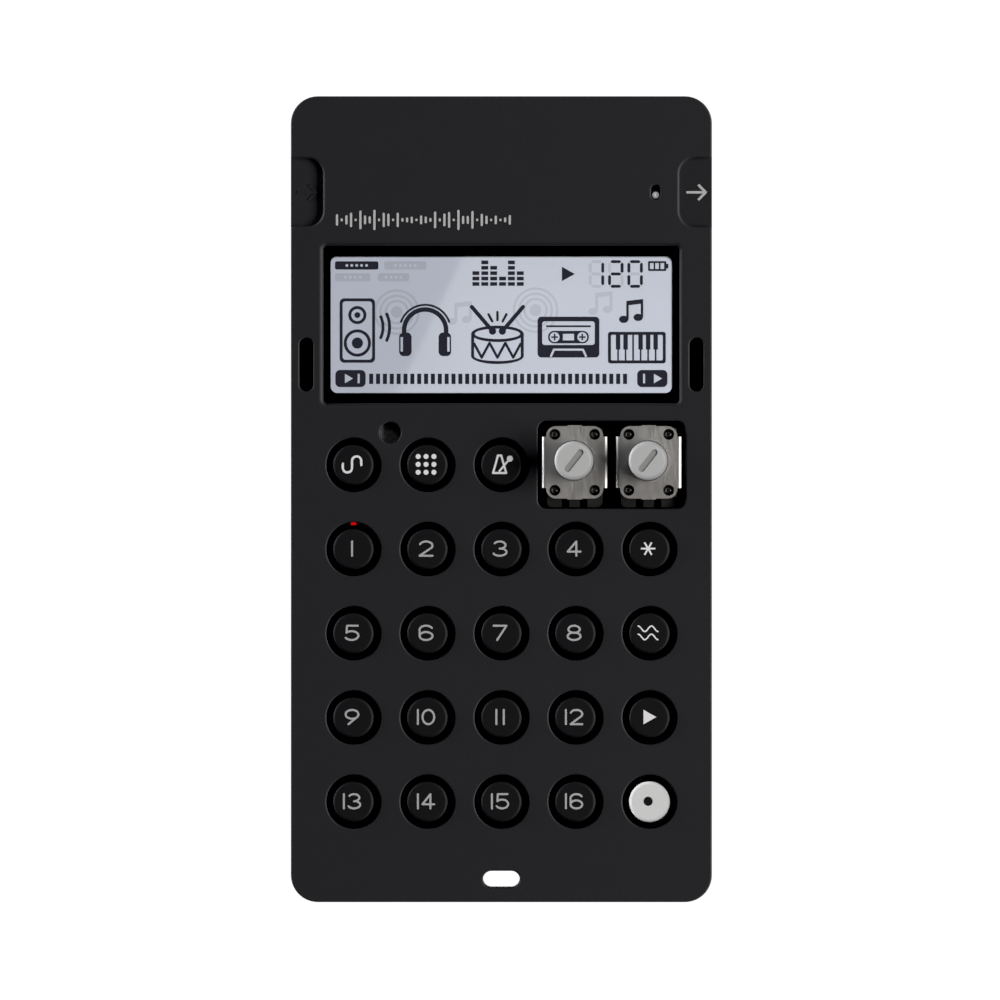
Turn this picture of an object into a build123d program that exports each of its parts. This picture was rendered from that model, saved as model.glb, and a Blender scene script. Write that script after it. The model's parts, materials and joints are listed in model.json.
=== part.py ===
"""Pocket music sampler: two rubber case halves around one circuit board with press keys,
two slotted control shafts, a segment display, a speaker and two cells.

Millimetres. The device lies on its back: X is its width, Y its length with the jack end
at +Y, and Z points out of the face. The origin is at the middle of the back.
"""
import os
from math import sqrt

from build123d import *

# Fits
fit_gap = 0.1
running_gap = 0.1
loose_gap = 0.3

# Keypad
key_columns = 5
key_rows = 5
key_pitch_x = 11.25
key_pitch_y = 12.8
key_diameter = 6.2
key_ring_gap = 1.0
key_proud = 0.3
key_travel = 0.5
key_edge_radius = 0.45
key_flange_overlap = 0.7
key_flange_thickness = 0.8
key_notch_width = 1.6
plunger_diameter = 3.4
switch_width = 6.0
switch_height = 3.1
switch_corner_radius = 0.4
switch_floor = 0.8
light_length = 1.0
light_width = 0.5
light_height = 0.5

# Case
side_wall = 2.0
face_wall = 1.8
rear_wall = 1.6
top_end_wall = 2.75
bottom_end_wall = 6.6
parting_height = 7.0
case_corner_radius = 4.1
face_edge_radius = 0.25
rear_edge_radius = 0.8
hole_rim_radius = 0.25
lap_height = 1.5
lap_thickness = 0.9
bottom_margin = 15.25
top_margin = 22.75
post_diameter = 3.0
post_inset = 2.0
post_end_inset = 3.4
pin_diameter = 1.6
pin_height = 1.2
lanyard_length = 5.6
lanyard_width = 2.6
lanyard_edge_distance = 3.45
side_slot_length = 8.1
side_slot_width = 2.1
side_slot_depth = 4.0
side_slot_inset = 2.35
side_slot_drop = 6.1

# Board
board_thickness = 1.2
board_gap = 0.4
board_side_margin = 7.1
board_top_margin = 5.4
board_corner_radius = 1.5

# Display
window_gap = 9.4
window_corner_radius = 0.6
window_rim_radius = 0.7
view_width = 51.9
view_height = 20.8
view_corner_radius = 1.0
bezel_side = 1.1
bezel_end = 1.55
frame_margin = 1.25
frame_lip = 0.5
frame_side_room = 1.3
glass_border = 1.25
glass_thickness = 2.0
reflector_thickness = 0.3
connector_width = 2.0
connector_end_gap = 3.0
connector_least_height = 1.5

# Controls
control_drop = 0.4
control_shift = -0.1
plate_width = 8.7
plate_length = 11.0
plate_thickness = 0.7
plate_corner_radius = 1.5
plate_nib_width = 2.2
plate_nib = 0.15
leg_length = 7.8
leg_thickness = 0.6
leg_bend_radius = 0.5
base_width = 8.5
base_length = 10.4
base_floor = 1.1
base_tail = 1.35
base_tail_drop = 0.9
base_tail_radius = 0.9
base_notch_width = 1.1
base_notch_spacing = 2.75
base_notch_depth = 1.2
rivet_spacing_x = 6.06
rivet_spacing_y = 8.5
rivet_diameter = 1.2
rivet_seat_depth = 0.8
rivet_drop = 0.25
rivet_clearance = 0.23
control_height = 7.4
plate_proud = 0.2
shaft_diameter = 6.0
shaft_proud = 4.4
shaft_offset = 0.25
shaft_shift = -0.13
shaft_edge_radius = 0.6
shaft_slot_length = 4.1
shaft_slot_width = 0.95
shaft_slot_depth = 0.6
shaft_slot_angle = 52.0
collar_diameter = 7.4
collar_thickness = 1.2
hub_diameter = 4.0
element_diameter = 7.4
element_bore = 3.0
element_thickness = 0.6
wiper_diameter = 6.4
wiper_thickness = 0.3
wiper_finger_diameter = 0.6
wiper_finger_spacing = 5.2
wiper_lift = 0.06
cutout_side_gap = 0.6
cutout_top_gap = 0.8
cutout_bottom_gap = 0.18
cutout_corner_radius = 1.3

# Jacks
jack_from_top = 14.6
jack_length = 14.0
jack_width = 6.6
jack_height = 4.8
jack_corner_radius = 0.4
jack_bore = 3.6
jack_bore_depth = 13.2
collar_outer = 5.0
collar_length = 1.2
contact_length = 8.0
contact_width = 1.6
contact_thickness = 0.3
recess_length = 10.35
recess_width = 4.9
recess_depth = 0.8
recess_corner_radius = 2.4
recess_edge_radius = 0.45
recess_floor = 0.8
pad_border = 1.0
lens_hole_length = 2.2
lens_hole_width = 1.4
lens_diameter = 1.0
lens_inset = 8.55
lens_drop = 0.4
lens_below_face = 0.5
lens_seat_depth = 0.4

# Microphone
microphone_hole = 3.2
microphone_diameter = 4.0
microphone_thickness = 1.5
boot_wall = 0.25
boot_key_gap = 0.3

# Battery bay
cell_diameter = 10.5
cell_length = 44.5
cell_edge_radius = 0.6
nub_diameter = 3.8
nub_length = 0.8
cell_pitch = 11.0
cell_floor_gap = 0.2
cell_top_gap = 0.3
holder_wall = 1.0
holder_side_gap = 0.25
holder_lift = 0.6
divider_thickness = 1.0
divider_rise = 3.2
terminal_thickness = 0.5
terminal_width = 9.0
spring_length = 3.1
spring_span = 6.0
spring_gauge = 0.3
bay_from_top = 20.25
door_recess = 0.1
door_end_gap = 1.0
door_strip_gap = 0.4
door_strip_width = 1.3
door_flange = 0.8
door_flange_thickness = 0.8
rail_overlap = 0.6
rail_thickness = 1.0
rail_wall_room = 2.2
grip_count = 5
grip_pitch = 1.6
grip_width = 0.8
grip_length = 18.0
grip_depth = 0.4
grip_from_end = 4.0

# Speaker
speaker_diameter = 28.0
speaker_wall = 1.2
speaker_height = 5.0
speaker_rim_height = 1.8
speaker_back_diameter = 17.0
voice_coil_diameter = 6.4
cone_thickness = 0.3
cone_clearance = 0.3
magnet_diameter = 15.0
magnet_thickness = 2.4
seat_wall = 1.2
seat_height = 3.0
grille_rings = 3
grille_pitch = 3.4
grille_hole = 1.7

# Components on the back of the board
processor_width = 10.0
processor_height = 1.4
memory_width = 5.2
memory_length = 8.0
memory_height = 1.6
crystal_length = 5.0
crystal_width = 3.2
crystal_height = 1.1
capacitor_diameter = 5.0
capacitor_height = 5.4
capacitor_pitch = 6.5
component_corner_radius = 0.3

# Widths: the board is as wide as the keypad, the display and the battery bay need
keypad_width = (key_columns - 1) * key_pitch_x + 2 * board_side_margin
window_width = view_width + 2 * bezel_side
frame_width = window_width + 2 * frame_margin
holder_length = cell_length + spring_length + 2 * terminal_thickness + 2 * holder_wall
door_width = holder_length + 2 * (door_strip_gap + door_strip_width)
rail_span = door_width + 2 * (door_flange + rail_wall_room)
board_width = max(keypad_width, frame_width + 2 * frame_side_room, rail_span - 2 * board_gap)
cavity_width = board_width + 2 * board_gap
case_width = cavity_width + 2 * side_wall

# Lengths, from the bottom edge up
window_height = view_height + 2 * bezel_end
frame_length = window_height + 2 * frame_margin
case_length = (bottom_margin + (key_rows - 1) * key_pitch_y + window_gap + window_height
               + top_margin)
case_top = case_length / 2
case_bottom = -case_length / 2
cavity_top = case_top - top_end_wall
cavity_bottom = case_bottom + bottom_end_wall
cavity_length = cavity_top - cavity_bottom
cavity_y = (cavity_top + cavity_bottom) / 2
cavity_corner_radius = case_corner_radius - side_wall
window_y = case_top - top_margin - window_height / 2
jack_y = case_top - jack_from_top
bay_y = case_top - bay_from_top
board_top = jack_y + board_top_margin
board_bottom = cavity_bottom + board_gap
holder_width = cell_pitch + cell_diameter + 2 * (holder_side_gap + holder_wall)
door_inner_y = bay_y - holder_width / 2 - door_end_gap

# Heights, from the back up: the face clears the tallest of what stands on the board
board_back = rear_wall + cell_floor_gap + cell_diameter + cell_top_gap
board_front = board_back + board_thickness
control_stack = control_height - plate_proud
key_stack = switch_height + key_travel + loose_gap + key_flange_thickness + fit_gap + face_wall
display_stack = connector_least_height + glass_thickness + frame_lip + fit_gap + face_wall
jack_stack = jack_height + fit_gap + recess_floor + recess_depth
case_depth = board_front + max(control_stack, key_stack, display_stack, jack_stack)
under_face = case_depth - face_wall
flange_top = under_face - fit_gap
flange_bottom = flange_top - key_flange_thickness
plunger_end = board_front + switch_floor + key_travel + loose_gap
key_hole_diameter = key_diameter + 2 * key_ring_gap
key_flange_diameter = key_hole_diameter + 2 * key_flange_overlap
jack_z = board_front + jack_height / 2
jack_outer = board_width / 2 + board_gap / 2


def column_x(column):
    """Centre of a key column, counted from the left."""
    return (column - (key_columns - 1) / 2) * key_pitch_x


def row_y(row):
    """Centre of a key row, counted from the bottom."""
    return case_bottom + bottom_margin + row * key_pitch_y


top_row = key_rows - 1
control_y = row_y(top_row) + control_drop
control_columns = (key_columns - 2, key_columns - 1)
control_points = [(column_x(column) + control_shift, control_y) for column in control_columns]
shaft_points = [(x + shaft_shift, y + shaft_offset) for x, y in control_points]
step_cells = [(column, row) for row in range(top_row - 1, -1, -1) for column in range(key_columns - 1)]
key_cells = {
    "key_sound": (0, top_row),
    "key_pattern": (1, top_row),
    "key_tempo": (2, top_row),
    "key_write": (key_columns - 1, top_row - 1),
    "key_effect": (key_columns - 1, top_row - 2),
    "key_play": (key_columns - 1, top_row - 3),
    "key_record": (key_columns - 1, top_row - 4),
}
for step, cell in enumerate(step_cells, start=1):
    key_cells[f"key_{step}"] = cell
key_points = [(column_x(column), row_y(row)) for column, row in key_cells.values()]

# Board posts: at the bottom corners and between two key rows half way up
post_x = board_width / 2 - post_inset
post_rows = [board_bottom + post_end_inset, (row_y(top_row - 1) + row_y(top_row - 2)) / 2]
post_points = [(side * post_x, y) for y in post_rows for side in (-1, 1)]

# The microphone nests between the first two keys of the top row
boot_diameter = microphone_diameter + 2 * (fit_gap + boot_wall)
boot_reach = (key_flange_diameter + boot_diameter) / 2 + boot_key_gap
microphone_x = (column_x(0) + column_x(1)) / 2
microphone_y = row_y(top_row) + sqrt(boot_reach**2 - (key_pitch_x / 2) ** 2)

lens_x = case_width / 2 - lens_inset
lens_y = jack_y - lens_drop
lanyard_y = case_bottom + lanyard_edge_distance
speaker_y = (row_y(1) + row_y(2)) / 2

os.makedirs("parts", exist_ok=True)


def write(builder, label):
    """Label a finished piece and write its solid."""
    builder.part.label = label
    export_step(builder.part, f"parts/{label}.step")


# Front cover
pad_width = recess_width - side_wall + pad_border
pad_bottom = board_front + jack_height + fit_gap
jack_hole = collar_outer + 2 * fit_gap
bracket_span = plate_width + 2 * (leg_thickness + fit_gap / 2)
cutout_width = key_pitch_x + bracket_span + 2 * cutout_side_gap
cutout_top = control_y + plate_length / 2 + cutout_top_gap
cutout_bottom = control_y - plate_length / 2 - base_tail - cutout_bottom_gap

with BuildPart() as front_cover:
    with BuildSketch(Plane.XY.offset(parting_height)):
        RectangleRounded(case_width, case_length, case_corner_radius)
    extrude(amount=case_depth - parting_height)
    fillet(front_cover.faces().sort_by(Axis.Z)[-1].edges(), face_edge_radius)
    # Recesses over the jacks, open to the sides, with softer rims than the outline
    with BuildSketch(Plane.XY.offset(case_depth)):
        with Locations((-case_width / 2, jack_y), (case_width / 2, jack_y)):
            RectangleRounded(2 * recess_width, recess_length, recess_corner_radius)
    extrude(amount=-recess_depth, mode=Mode.SUBTRACT)
    rim_reach = recess_length / 2 + face_edge_radius
    recess_rims = front_cover.faces().sort_by(Axis.Z)[-1].edges().filter_by_position(
        Axis.Y, jack_y - rim_reach, jack_y + rim_reach)
    fillet(recess_rims, recess_edge_radius)
    # Cavity with a rabbet for the rear cover's tongue
    with BuildSketch(Plane.XY.offset(parting_height)):
        with Locations((0, cavity_y)):
            RectangleRounded(cavity_width, cavity_length, cavity_corner_radius)
    extrude(amount=under_face - parting_height, mode=Mode.SUBTRACT)
    with BuildSketch(Plane.XY.offset(parting_height)):
        with Locations((0, cavity_y)):
            rabbet = lap_thickness + fit_gap
            RectangleRounded(cavity_width + 2 * rabbet, cavity_length + 2 * rabbet,
                             cavity_corner_radius + rabbet)
    extrude(amount=lap_height + fit_gap, mode=Mode.SUBTRACT)
    # Floors of the recesses, thickened on the inside
    with BuildSketch(Plane.XY.offset(pad_bottom)):
        pad_x = (cavity_width - pad_width) / 2
        with Locations((-pad_x, jack_y), (pad_x, jack_y)):
            Rectangle(pad_width, recess_length + 2 * pad_border)
    extrude(amount=under_face - pad_bottom)
    # Side holes for the jack collars
    with BuildSketch(Plane.YZ.offset(-case_width / 2)):
        with Locations((jack_y, jack_z)):
            Circle(jack_hole / 2)
    extrude(amount=side_wall, mode=Mode.SUBTRACT)
    with BuildSketch(Plane.YZ.offset(case_width / 2)):
        with Locations((jack_y, jack_z)):
            Circle(jack_hole / 2)
    extrude(amount=-side_wall, mode=Mode.SUBTRACT)
    # Key holes
    with BuildSketch(Plane.XY.offset(case_depth)):
        with Locations(*key_points):
            Circle(key_hole_diameter / 2)
    extrude(amount=-face_wall, mode=Mode.SUBTRACT)
    fillet(front_cover.edges(Select.LAST).group_by(Axis.Z)[-1], hole_rim_radius)
    # Display window
    with BuildSketch(Plane.XY.offset(case_depth)):
        with Locations((0, window_y)):
            RectangleRounded(window_width, window_height, window_corner_radius)
    extrude(amount=-face_wall, mode=Mode.SUBTRACT)
    fillet(front_cover.edges(Select.LAST).group_by(Axis.Z)[-1], window_rim_radius)
    # Cut-out around the two controls
    with BuildSketch(Plane.XY.offset(case_depth)):
        with Locations(((control_points[0][0] + control_points[1][0]) / 2, (cutout_top + cutout_bottom) / 2)):
            RectangleRounded(cutout_width, cutout_top - cutout_bottom, cutout_corner_radius)
    extrude(amount=-face_wall, mode=Mode.SUBTRACT)
    fillet(front_cover.edges(Select.LAST).group_by(Axis.Z)[-1], hole_rim_radius)
    # Microphone hole and the small hole over the lens
    with BuildSketch(Plane.XY.offset(case_depth)):
        with Locations((microphone_x, microphone_y)):
            Circle(microphone_hole / 2)
        with Locations((lens_x, jack_y)):
            SlotOverall(lens_hole_length, lens_hole_width, rotation=90)
    extrude(amount=-face_wall, mode=Mode.SUBTRACT)
    fillet(front_cover.edges(Select.LAST).group_by(Axis.Z)[-1], hole_rim_radius)
    # Blind slots beside the display
    with BuildSketch(Plane.XY.offset(case_depth)):
        slot_x = case_width / 2 - side_slot_inset
        slot_y = window_y - side_slot_drop
        with Locations((-slot_x, slot_y), (slot_x, slot_y)):
            SlotOverall(side_slot_length, side_slot_width, rotation=90)
    extrude(amount=-side_slot_depth, mode=Mode.SUBTRACT)
    fillet(front_cover.edges(Select.LAST).group_by(Axis.Z)[-1], hole_rim_radius)
    # Lanyard slot
    with BuildSketch(Plane.XY.offset(case_depth)):
        with Locations((0, lanyard_y)):
            SlotOverall(lanyard_length, lanyard_width)
    extrude(amount=parting_height - case_depth, mode=Mode.SUBTRACT)
    fillet(front_cover.edges(Select.LAST).group_by(Axis.Z)[-1], hole_rim_radius)
    # Posts that press on the board, bored for its pins
    with BuildSketch(Plane.XY.offset(board_front)):
        with Locations(*post_points):
            Circle(post_diameter / 2)
    extrude(amount=under_face - board_front)
    with BuildSketch(Plane.XY.offset(board_front)):
        with Locations(*post_points):
            Circle(pin_diameter / 2 + fit_gap)
    extrude(amount=pin_height + fit_gap, mode=Mode.SUBTRACT)
write(front_cover, "front_cover")

# Rear cover
rail_bottom = rear_wall + door_flange_thickness + 2 * fit_gap
rail_inner = door_width / 2 + door_flange - rail_overlap
rail_width = cavity_width / 2 - rail_inner
rail_length = cavity_top - cavity_corner_radius - door_inner_y
door_end_width = door_width + 2 * door_flange

with BuildPart() as rear_cover:
    with BuildSketch(Plane.XY):
        RectangleRounded(case_width, case_length, case_corner_radius)
    extrude(amount=parting_height)
    fillet(rear_cover.faces().sort_by(Axis.Z)[0].edges(), rear_edge_radius)
    with BuildSketch(Plane.XY.offset(rear_wall)):
        with Locations((0, cavity_y)):
            RectangleRounded(cavity_width, cavity_length, cavity_corner_radius)
    extrude(amount=parting_height - rear_wall, mode=Mode.SUBTRACT)
    # Tongue that fits the front cover's rabbet
    with BuildSketch(Plane.XY.offset(parting_height)):
        with Locations((0, cavity_y)):
            RectangleRounded(cavity_width + 2 * lap_thickness, cavity_length + 2 * lap_thickness,
                             cavity_corner_radius + lap_thickness)
            RectangleRounded(cavity_width, cavity_length, cavity_corner_radius, mode=Mode.SUBTRACT)
    extrude(amount=lap_height)
    # Opening for the battery door, and a wider one in the end wall that its flanges leave by
    with BuildSketch(Plane((0, door_inner_y, 0))):
        Rectangle(door_width, cavity_top - door_inner_y, align=(Align.CENTER, Align.MIN))
    extrude(amount=rear_wall, mode=Mode.SUBTRACT)
    with BuildSketch(Plane((0, cavity_top, 0))):
        Rectangle(door_end_width + 2 * fit_gap, top_end_wall, align=(Align.CENTER, Align.MIN))
    extrude(amount=parting_height + lap_height, mode=Mode.SUBTRACT)
    # Rails over the door's flanges
    with BuildSketch(Plane((0, door_inner_y, rail_bottom))):
        rail_x = rail_inner + rail_width / 2
        with Locations((-rail_x, 0), (rail_x, 0)):
            Rectangle(rail_width, rail_length, align=(Align.CENTER, Align.MIN))
    extrude(amount=rail_thickness)
    # Speaker seat and grille
    with BuildSketch(Plane((0, speaker_y, rear_wall))):
        Circle(speaker_diameter / 2 + fit_gap + seat_wall)
        Circle(speaker_diameter / 2 + fit_gap, mode=Mode.SUBTRACT)
    extrude(amount=seat_height)
    with BuildSketch(Plane((0, speaker_y, 0))):
        Circle(grille_hole / 2)
        for ring in range(1, grille_rings + 1):
            with PolarLocations(ring * grille_pitch, 6 * ring):
                Circle(grille_hole / 2)
    extrude(amount=rear_wall, mode=Mode.SUBTRACT)
    # Posts under the board with pins through it
    with BuildSketch(Plane.XY.offset(rear_wall)):
        with Locations(*post_points):
            Circle(post_diameter / 2)
    extrude(amount=board_back - rear_wall)
    with BuildSketch(Plane.XY.offset(board_back)):
        with Locations(*post_points):
            Circle(pin_diameter / 2)
    extrude(amount=board_thickness + pin_height)
    # Lanyard slot
    with BuildSketch(Plane.XY):
        with Locations((0, lanyard_y)):
            SlotOverall(lanyard_length, lanyard_width)
    extrude(amount=parting_height, mode=Mode.SUBTRACT)
    fillet(rear_cover.edges(Select.LAST).group_by(Axis.Z)[0], hole_rim_radius)
write(rear_cover, "rear_cover")

# Battery door: plate and end wall, with flanges that run under the rails
door_plate_width = door_width - 2 * fit_gap
door_plate_length = case_top - door_inner_y - fit_gap
strip_length = rail_length - fit_gap
strip_inner = holder_length / 2 + door_strip_gap

with BuildPart() as battery_door:
    with BuildSketch(Plane((0, door_inner_y + fit_gap, door_recess))):
        Rectangle(door_plate_width, door_plate_length, align=(Align.CENTER, Align.MIN))
    extrude(amount=rear_wall - door_recess)
    with BuildSketch(Plane((0, cavity_top, door_recess))):
        Rectangle(door_end_width, top_end_wall, align=(Align.CENTER, Align.MIN))
    extrude(amount=parting_height - fit_gap - door_recess)
    fillet(battery_door.edges().filter_by(Axis.X).group_by(Axis.Z)[0].sort_by(Axis.Y)[-1],
           rear_edge_radius - door_recess)
    with BuildSketch(Plane((0, door_inner_y + fit_gap, rear_wall))):
        strip_width = door_plate_width / 2 - strip_inner
        strip_x = strip_inner + strip_width / 2
        with Locations((-strip_x, 0), (strip_x, 0)):
            Rectangle(strip_width, strip_length, align=(Align.CENTER, Align.MIN))
    extrude(amount=fit_gap + door_flange_thickness)
    with BuildSketch(Plane((0, door_inner_y + fit_gap, rear_wall + fit_gap))):
        flange_width = door_width / 2 + door_flange - strip_inner
        flange_x = strip_inner + flange_width / 2
        with Locations((-flange_x, 0), (flange_x, 0)):
            Rectangle(flange_width, strip_length, align=(Align.CENTER, Align.MIN))
    extrude(amount=door_flange_thickness)
    # Grip grooves for the thumb
    with BuildSketch(Plane((0, case_top - grip_from_end, door_recess))):
        with Locations(*[(0, -groove * grip_pitch) for groove in range(grip_count)]):
            SlotOverall(grip_length, grip_width)
    extrude(amount=grip_depth, mode=Mode.SUBTRACT)
write(battery_door, "battery_door")


# Keys
def make_key(name, column, row):
    """Cap, retaining flange with a notch for the light, and plunger, in one moulding."""
    x = column_x(column)
    y = row_y(row)
    with BuildPart() as key:
        with BuildSketch(Plane((x, y, flange_bottom))):
            Circle(key_diameter / 2)
        extrude(amount=case_depth + key_proud - flange_bottom)
        fillet(key.faces().sort_by(Axis.Z)[-1].edges(), key_edge_radius)
        with BuildSketch(Plane((x, y, flange_bottom))):
            Circle(key_flange_diameter / 2)
        extrude(amount=key_flange_thickness)
        with BuildSketch(Plane((x, y + key_diameter / 2 + fit_gap, flange_bottom))):
            Rectangle(key_notch_width, key_flange_diameter / 2, align=(Align.CENTER, Align.MIN))
        extrude(amount=key_flange_thickness, mode=Mode.SUBTRACT)
        with BuildSketch(Plane((x, y, plunger_end))):
            Circle(plunger_diameter / 2)
        extrude(amount=flange_bottom - plunger_end)
    write(key, name)


for key_name, (key_column, key_row) in key_cells.items():
    make_key(key_name, key_column, key_row)

# Main board
with BuildPart() as main_board:
    with BuildSketch(Plane((0, (board_top + board_bottom) / 2, board_back))):
        RectangleRounded(board_width, board_top - board_bottom, board_corner_radius)
    extrude(amount=board_thickness)
    with BuildSketch(Plane.XY.offset(board_back)):
        with Locations(*post_points):
            Circle(pin_diameter / 2 + fit_gap)
    extrude(amount=board_thickness, mode=Mode.SUBTRACT)
write(main_board, "main_board")

# Tactile switches, one under each key, bored for its plunger
with BuildPart() as tactile_switches:
    with BuildSketch(Plane.XY.offset(board_front)):
        with Locations(*key_points):
            RectangleRounded(switch_width, switch_width, switch_corner_radius)
    extrude(amount=switch_height)
    with BuildSketch(Plane.XY.offset(board_front + switch_floor)):
        with Locations(*key_points):
            Circle(plunger_diameter / 2 + running_gap)
    extrude(amount=switch_height - switch_floor, mode=Mode.SUBTRACT)
write(tactile_switches, "tactile_switches")

# Step lights, seen in the ring above each step key
light_offset = key_hole_diameter / 2 - light_width / 2
with BuildPart() as step_lights:
    with BuildSketch(Plane.XY.offset(board_front)):
        with Locations(*[(column_x(column), row_y(row) + light_offset) for column, row in step_cells]):
            Rectangle(light_length, light_width)
    extrude(amount=light_height)
write(step_lights, "step_lights")

# Display: frame, glass, reflector and contact strips
frame_top = under_face - fit_gap
glass_top = frame_top - frame_lip
glass_bottom = glass_top - glass_thickness
glass_width = view_width + 2 * glass_border
glass_length = view_height + 2 * glass_border
connector_offset = (glass_length - connector_width) / 2 - fit_gap

with BuildPart() as display_frame:
    with BuildSketch(Plane((0, window_y, board_front))):
        Rectangle(frame_width, frame_length)
    extrude(amount=frame_top - board_front)
    with BuildSketch(Plane((0, window_y, board_front))):
        Rectangle(glass_width + 2 * fit_gap, glass_length + 2 * fit_gap)
    extrude(amount=glass_top - board_front, mode=Mode.SUBTRACT)
    with BuildSketch(Plane((0, window_y, glass_top))):
        RectangleRounded(view_width, view_height, view_corner_radius)
    extrude(amount=frame_lip, mode=Mode.SUBTRACT)
write(display_frame, "display_frame")

with BuildPart() as display_glass:
    with BuildSketch(Plane((0, window_y, glass_bottom))):
        Rectangle(glass_width, glass_length)
    extrude(amount=glass_thickness)
write(display_glass, "display_glass")

with BuildPart() as display_reflector:
    with BuildSketch(Plane((0, window_y, glass_bottom))):
        Rectangle(glass_width, glass_length - 2 * (connector_width + 2 * fit_gap))
    extrude(amount=-reflector_thickness)
write(display_reflector, "display_reflector")

with BuildPart() as display_connectors:
    with BuildSketch(Plane((0, window_y, board_front))):
        with Locations((0, -connector_offset), (0, connector_offset)):
            Rectangle(glass_width - 2 * connector_end_gap, connector_width)
    extrude(amount=glass_bottom - board_front)
write(display_connectors, "display_connectors")

# Controls
plate_top = board_front + control_height
plate_bottom = plate_top - plate_thickness
well_floor = board_front + base_floor
collar_bottom = plate_bottom - fit_gap - collar_thickness
element_top = well_floor + element_thickness
wiper_bottom = element_top + wiper_lift + wiper_thickness
rivet_seat = plate_bottom - rivet_seat_depth

with BuildPart() as potentiometer_bases:
    with BuildSketch(Plane.XY.offset(board_front)):
        with Locations(*control_points):
            Rectangle(base_width, base_length)
    extrude(amount=plate_bottom - board_front)
    # Tail below the plate, notched between its terminals
    tail_length = (plate_length - base_length) / 2 + base_tail
    with BuildSketch(Plane.XY.offset(board_front)) as tails:
        with Locations(*[(x, y - base_length / 2 - tail_length / 2) for x, y in control_points]):
            Rectangle(base_width, tail_length)
        fillet(tails.vertices().group_by(Axis.Y)[0], base_tail_radius)
        with Locations(*[(x, y - base_length / 2 - tail_length) for x, y in control_points]):
            with GridLocations(base_notch_spacing, 0, 2, 1):
                Rectangle(base_notch_width, 2 * base_notch_depth, mode=Mode.SUBTRACT)
    extrude(amount=plate_bottom - base_tail_drop - board_front)
    with BuildSketch(Plane.XY.offset(well_floor)):
        with Locations(*shaft_points):
            Circle(collar_diameter / 2 + running_gap)
    extrude(amount=plate_bottom - well_floor, mode=Mode.SUBTRACT)
    with BuildSketch(Plane.XY.offset(rivet_seat)):
        with Locations(*control_points):
            with GridLocations(rivet_spacing_x, rivet_spacing_y, 2, 2):
                Circle(rivet_diameter / 2 + fit_gap / 2)
    extrude(amount=rivet_seat_depth, mode=Mode.SUBTRACT)
write(potentiometer_bases, "potentiometer_bases")

with BuildPart() as potentiometer_brackets:
    with BuildSketch(Plane.XY.offset(plate_bottom)):
        with Locations(*control_points):
            RectangleRounded(plate_width, plate_length, plate_corner_radius)
            Rectangle(bracket_span, leg_length)
            Rectangle(plate_nib_width, plate_length + 2 * plate_nib)
        with Locations(*shaft_points):
            Circle(shaft_diameter / 2 + running_gap, mode=Mode.SUBTRACT)
        with Locations(*control_points):
            with GridLocations(rivet_spacing_x, rivet_spacing_y, 2, 2):
                Circle(rivet_diameter / 2 + rivet_clearance, mode=Mode.SUBTRACT)
    extrude(amount=plate_thickness)
    fillet(potentiometer_brackets.edges().filter_by(Axis.Y).group_by(Axis.Z)[-1]
           .filter_by(lambda edge: abs(edge.length - leg_length) < fit_gap), leg_bend_radius)
    with BuildSketch(Plane.XY.offset(board_front)):
        with Locations(*control_points):
            with GridLocations(bracket_span - leg_thickness, 0, 2, 1):
                Rectangle(leg_thickness, leg_length)
    extrude(amount=plate_bottom - board_front)
write(potentiometer_brackets, "potentiometer_brackets")

with BuildPart() as potentiometer_rivets:
    with BuildSketch(Plane.XY.offset(rivet_seat)):
        with Locations(*control_points):
            with GridLocations(rivet_spacing_x, rivet_spacing_y, 2, 2):
                Circle(rivet_diameter / 2)
    extrude(amount=plate_top - rivet_drop - rivet_seat)
    fillet(potentiometer_rivets.edges().group_by(Axis.Z)[-1], rivet_diameter / 2 - fit_gap)
write(potentiometer_rivets, "potentiometer_rivets")

with BuildPart() as resistor_elements:
    with BuildSketch(Plane.XY.offset(well_floor)):
        with Locations(*shaft_points):
            Circle(element_diameter / 2)
        with Locations(*shaft_points):
            Circle(element_bore / 2, mode=Mode.SUBTRACT)
    extrude(amount=element_thickness)
write(resistor_elements, "resistor_elements")


def make_control(side, x, y):
    """One control shaft with its driver slot, and the wiper under its hub."""
    with BuildPart() as knob:
        with BuildSketch(Plane((x, y, collar_bottom))):
            Circle(shaft_diameter / 2)
        extrude(amount=case_depth + shaft_proud - collar_bottom)
        fillet(knob.faces().sort_by(Axis.Z)[-1].edges(), shaft_edge_radius)
        with BuildSketch(Plane((x, y, case_depth + shaft_proud))):
            SlotOverall(shaft_slot_length, shaft_slot_width, rotation=shaft_slot_angle)
        extrude(amount=-shaft_slot_depth, mode=Mode.SUBTRACT)
        with BuildSketch(Plane((x, y, collar_bottom))):
            Circle(collar_diameter / 2)
        extrude(amount=collar_thickness)
        with BuildSketch(Plane((x, y, wiper_bottom + wiper_thickness))):
            Circle(hub_diameter / 2)
        extrude(amount=collar_bottom - wiper_bottom - wiper_thickness)
    write(knob, f"{side}_knob")
    with BuildPart() as wiper:
        with BuildSketch(Plane((x, y, wiper_bottom))):
            Circle(wiper_diameter / 2)
        extrude(amount=wiper_thickness)
        with BuildSketch(Plane((x, y, element_top + wiper_lift))):
            with GridLocations(wiper_finger_spacing, 0, 2, 1):
                Circle(wiper_finger_diameter / 2)
        extrude(amount=wiper_bottom - element_top - wiper_lift)
    write(wiper, f"{side}_wiper")


for control_side, (shaft_x, shaft_y) in zip(("left", "right"), shaft_points):
    make_control(control_side, shaft_x, shaft_y)


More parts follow.
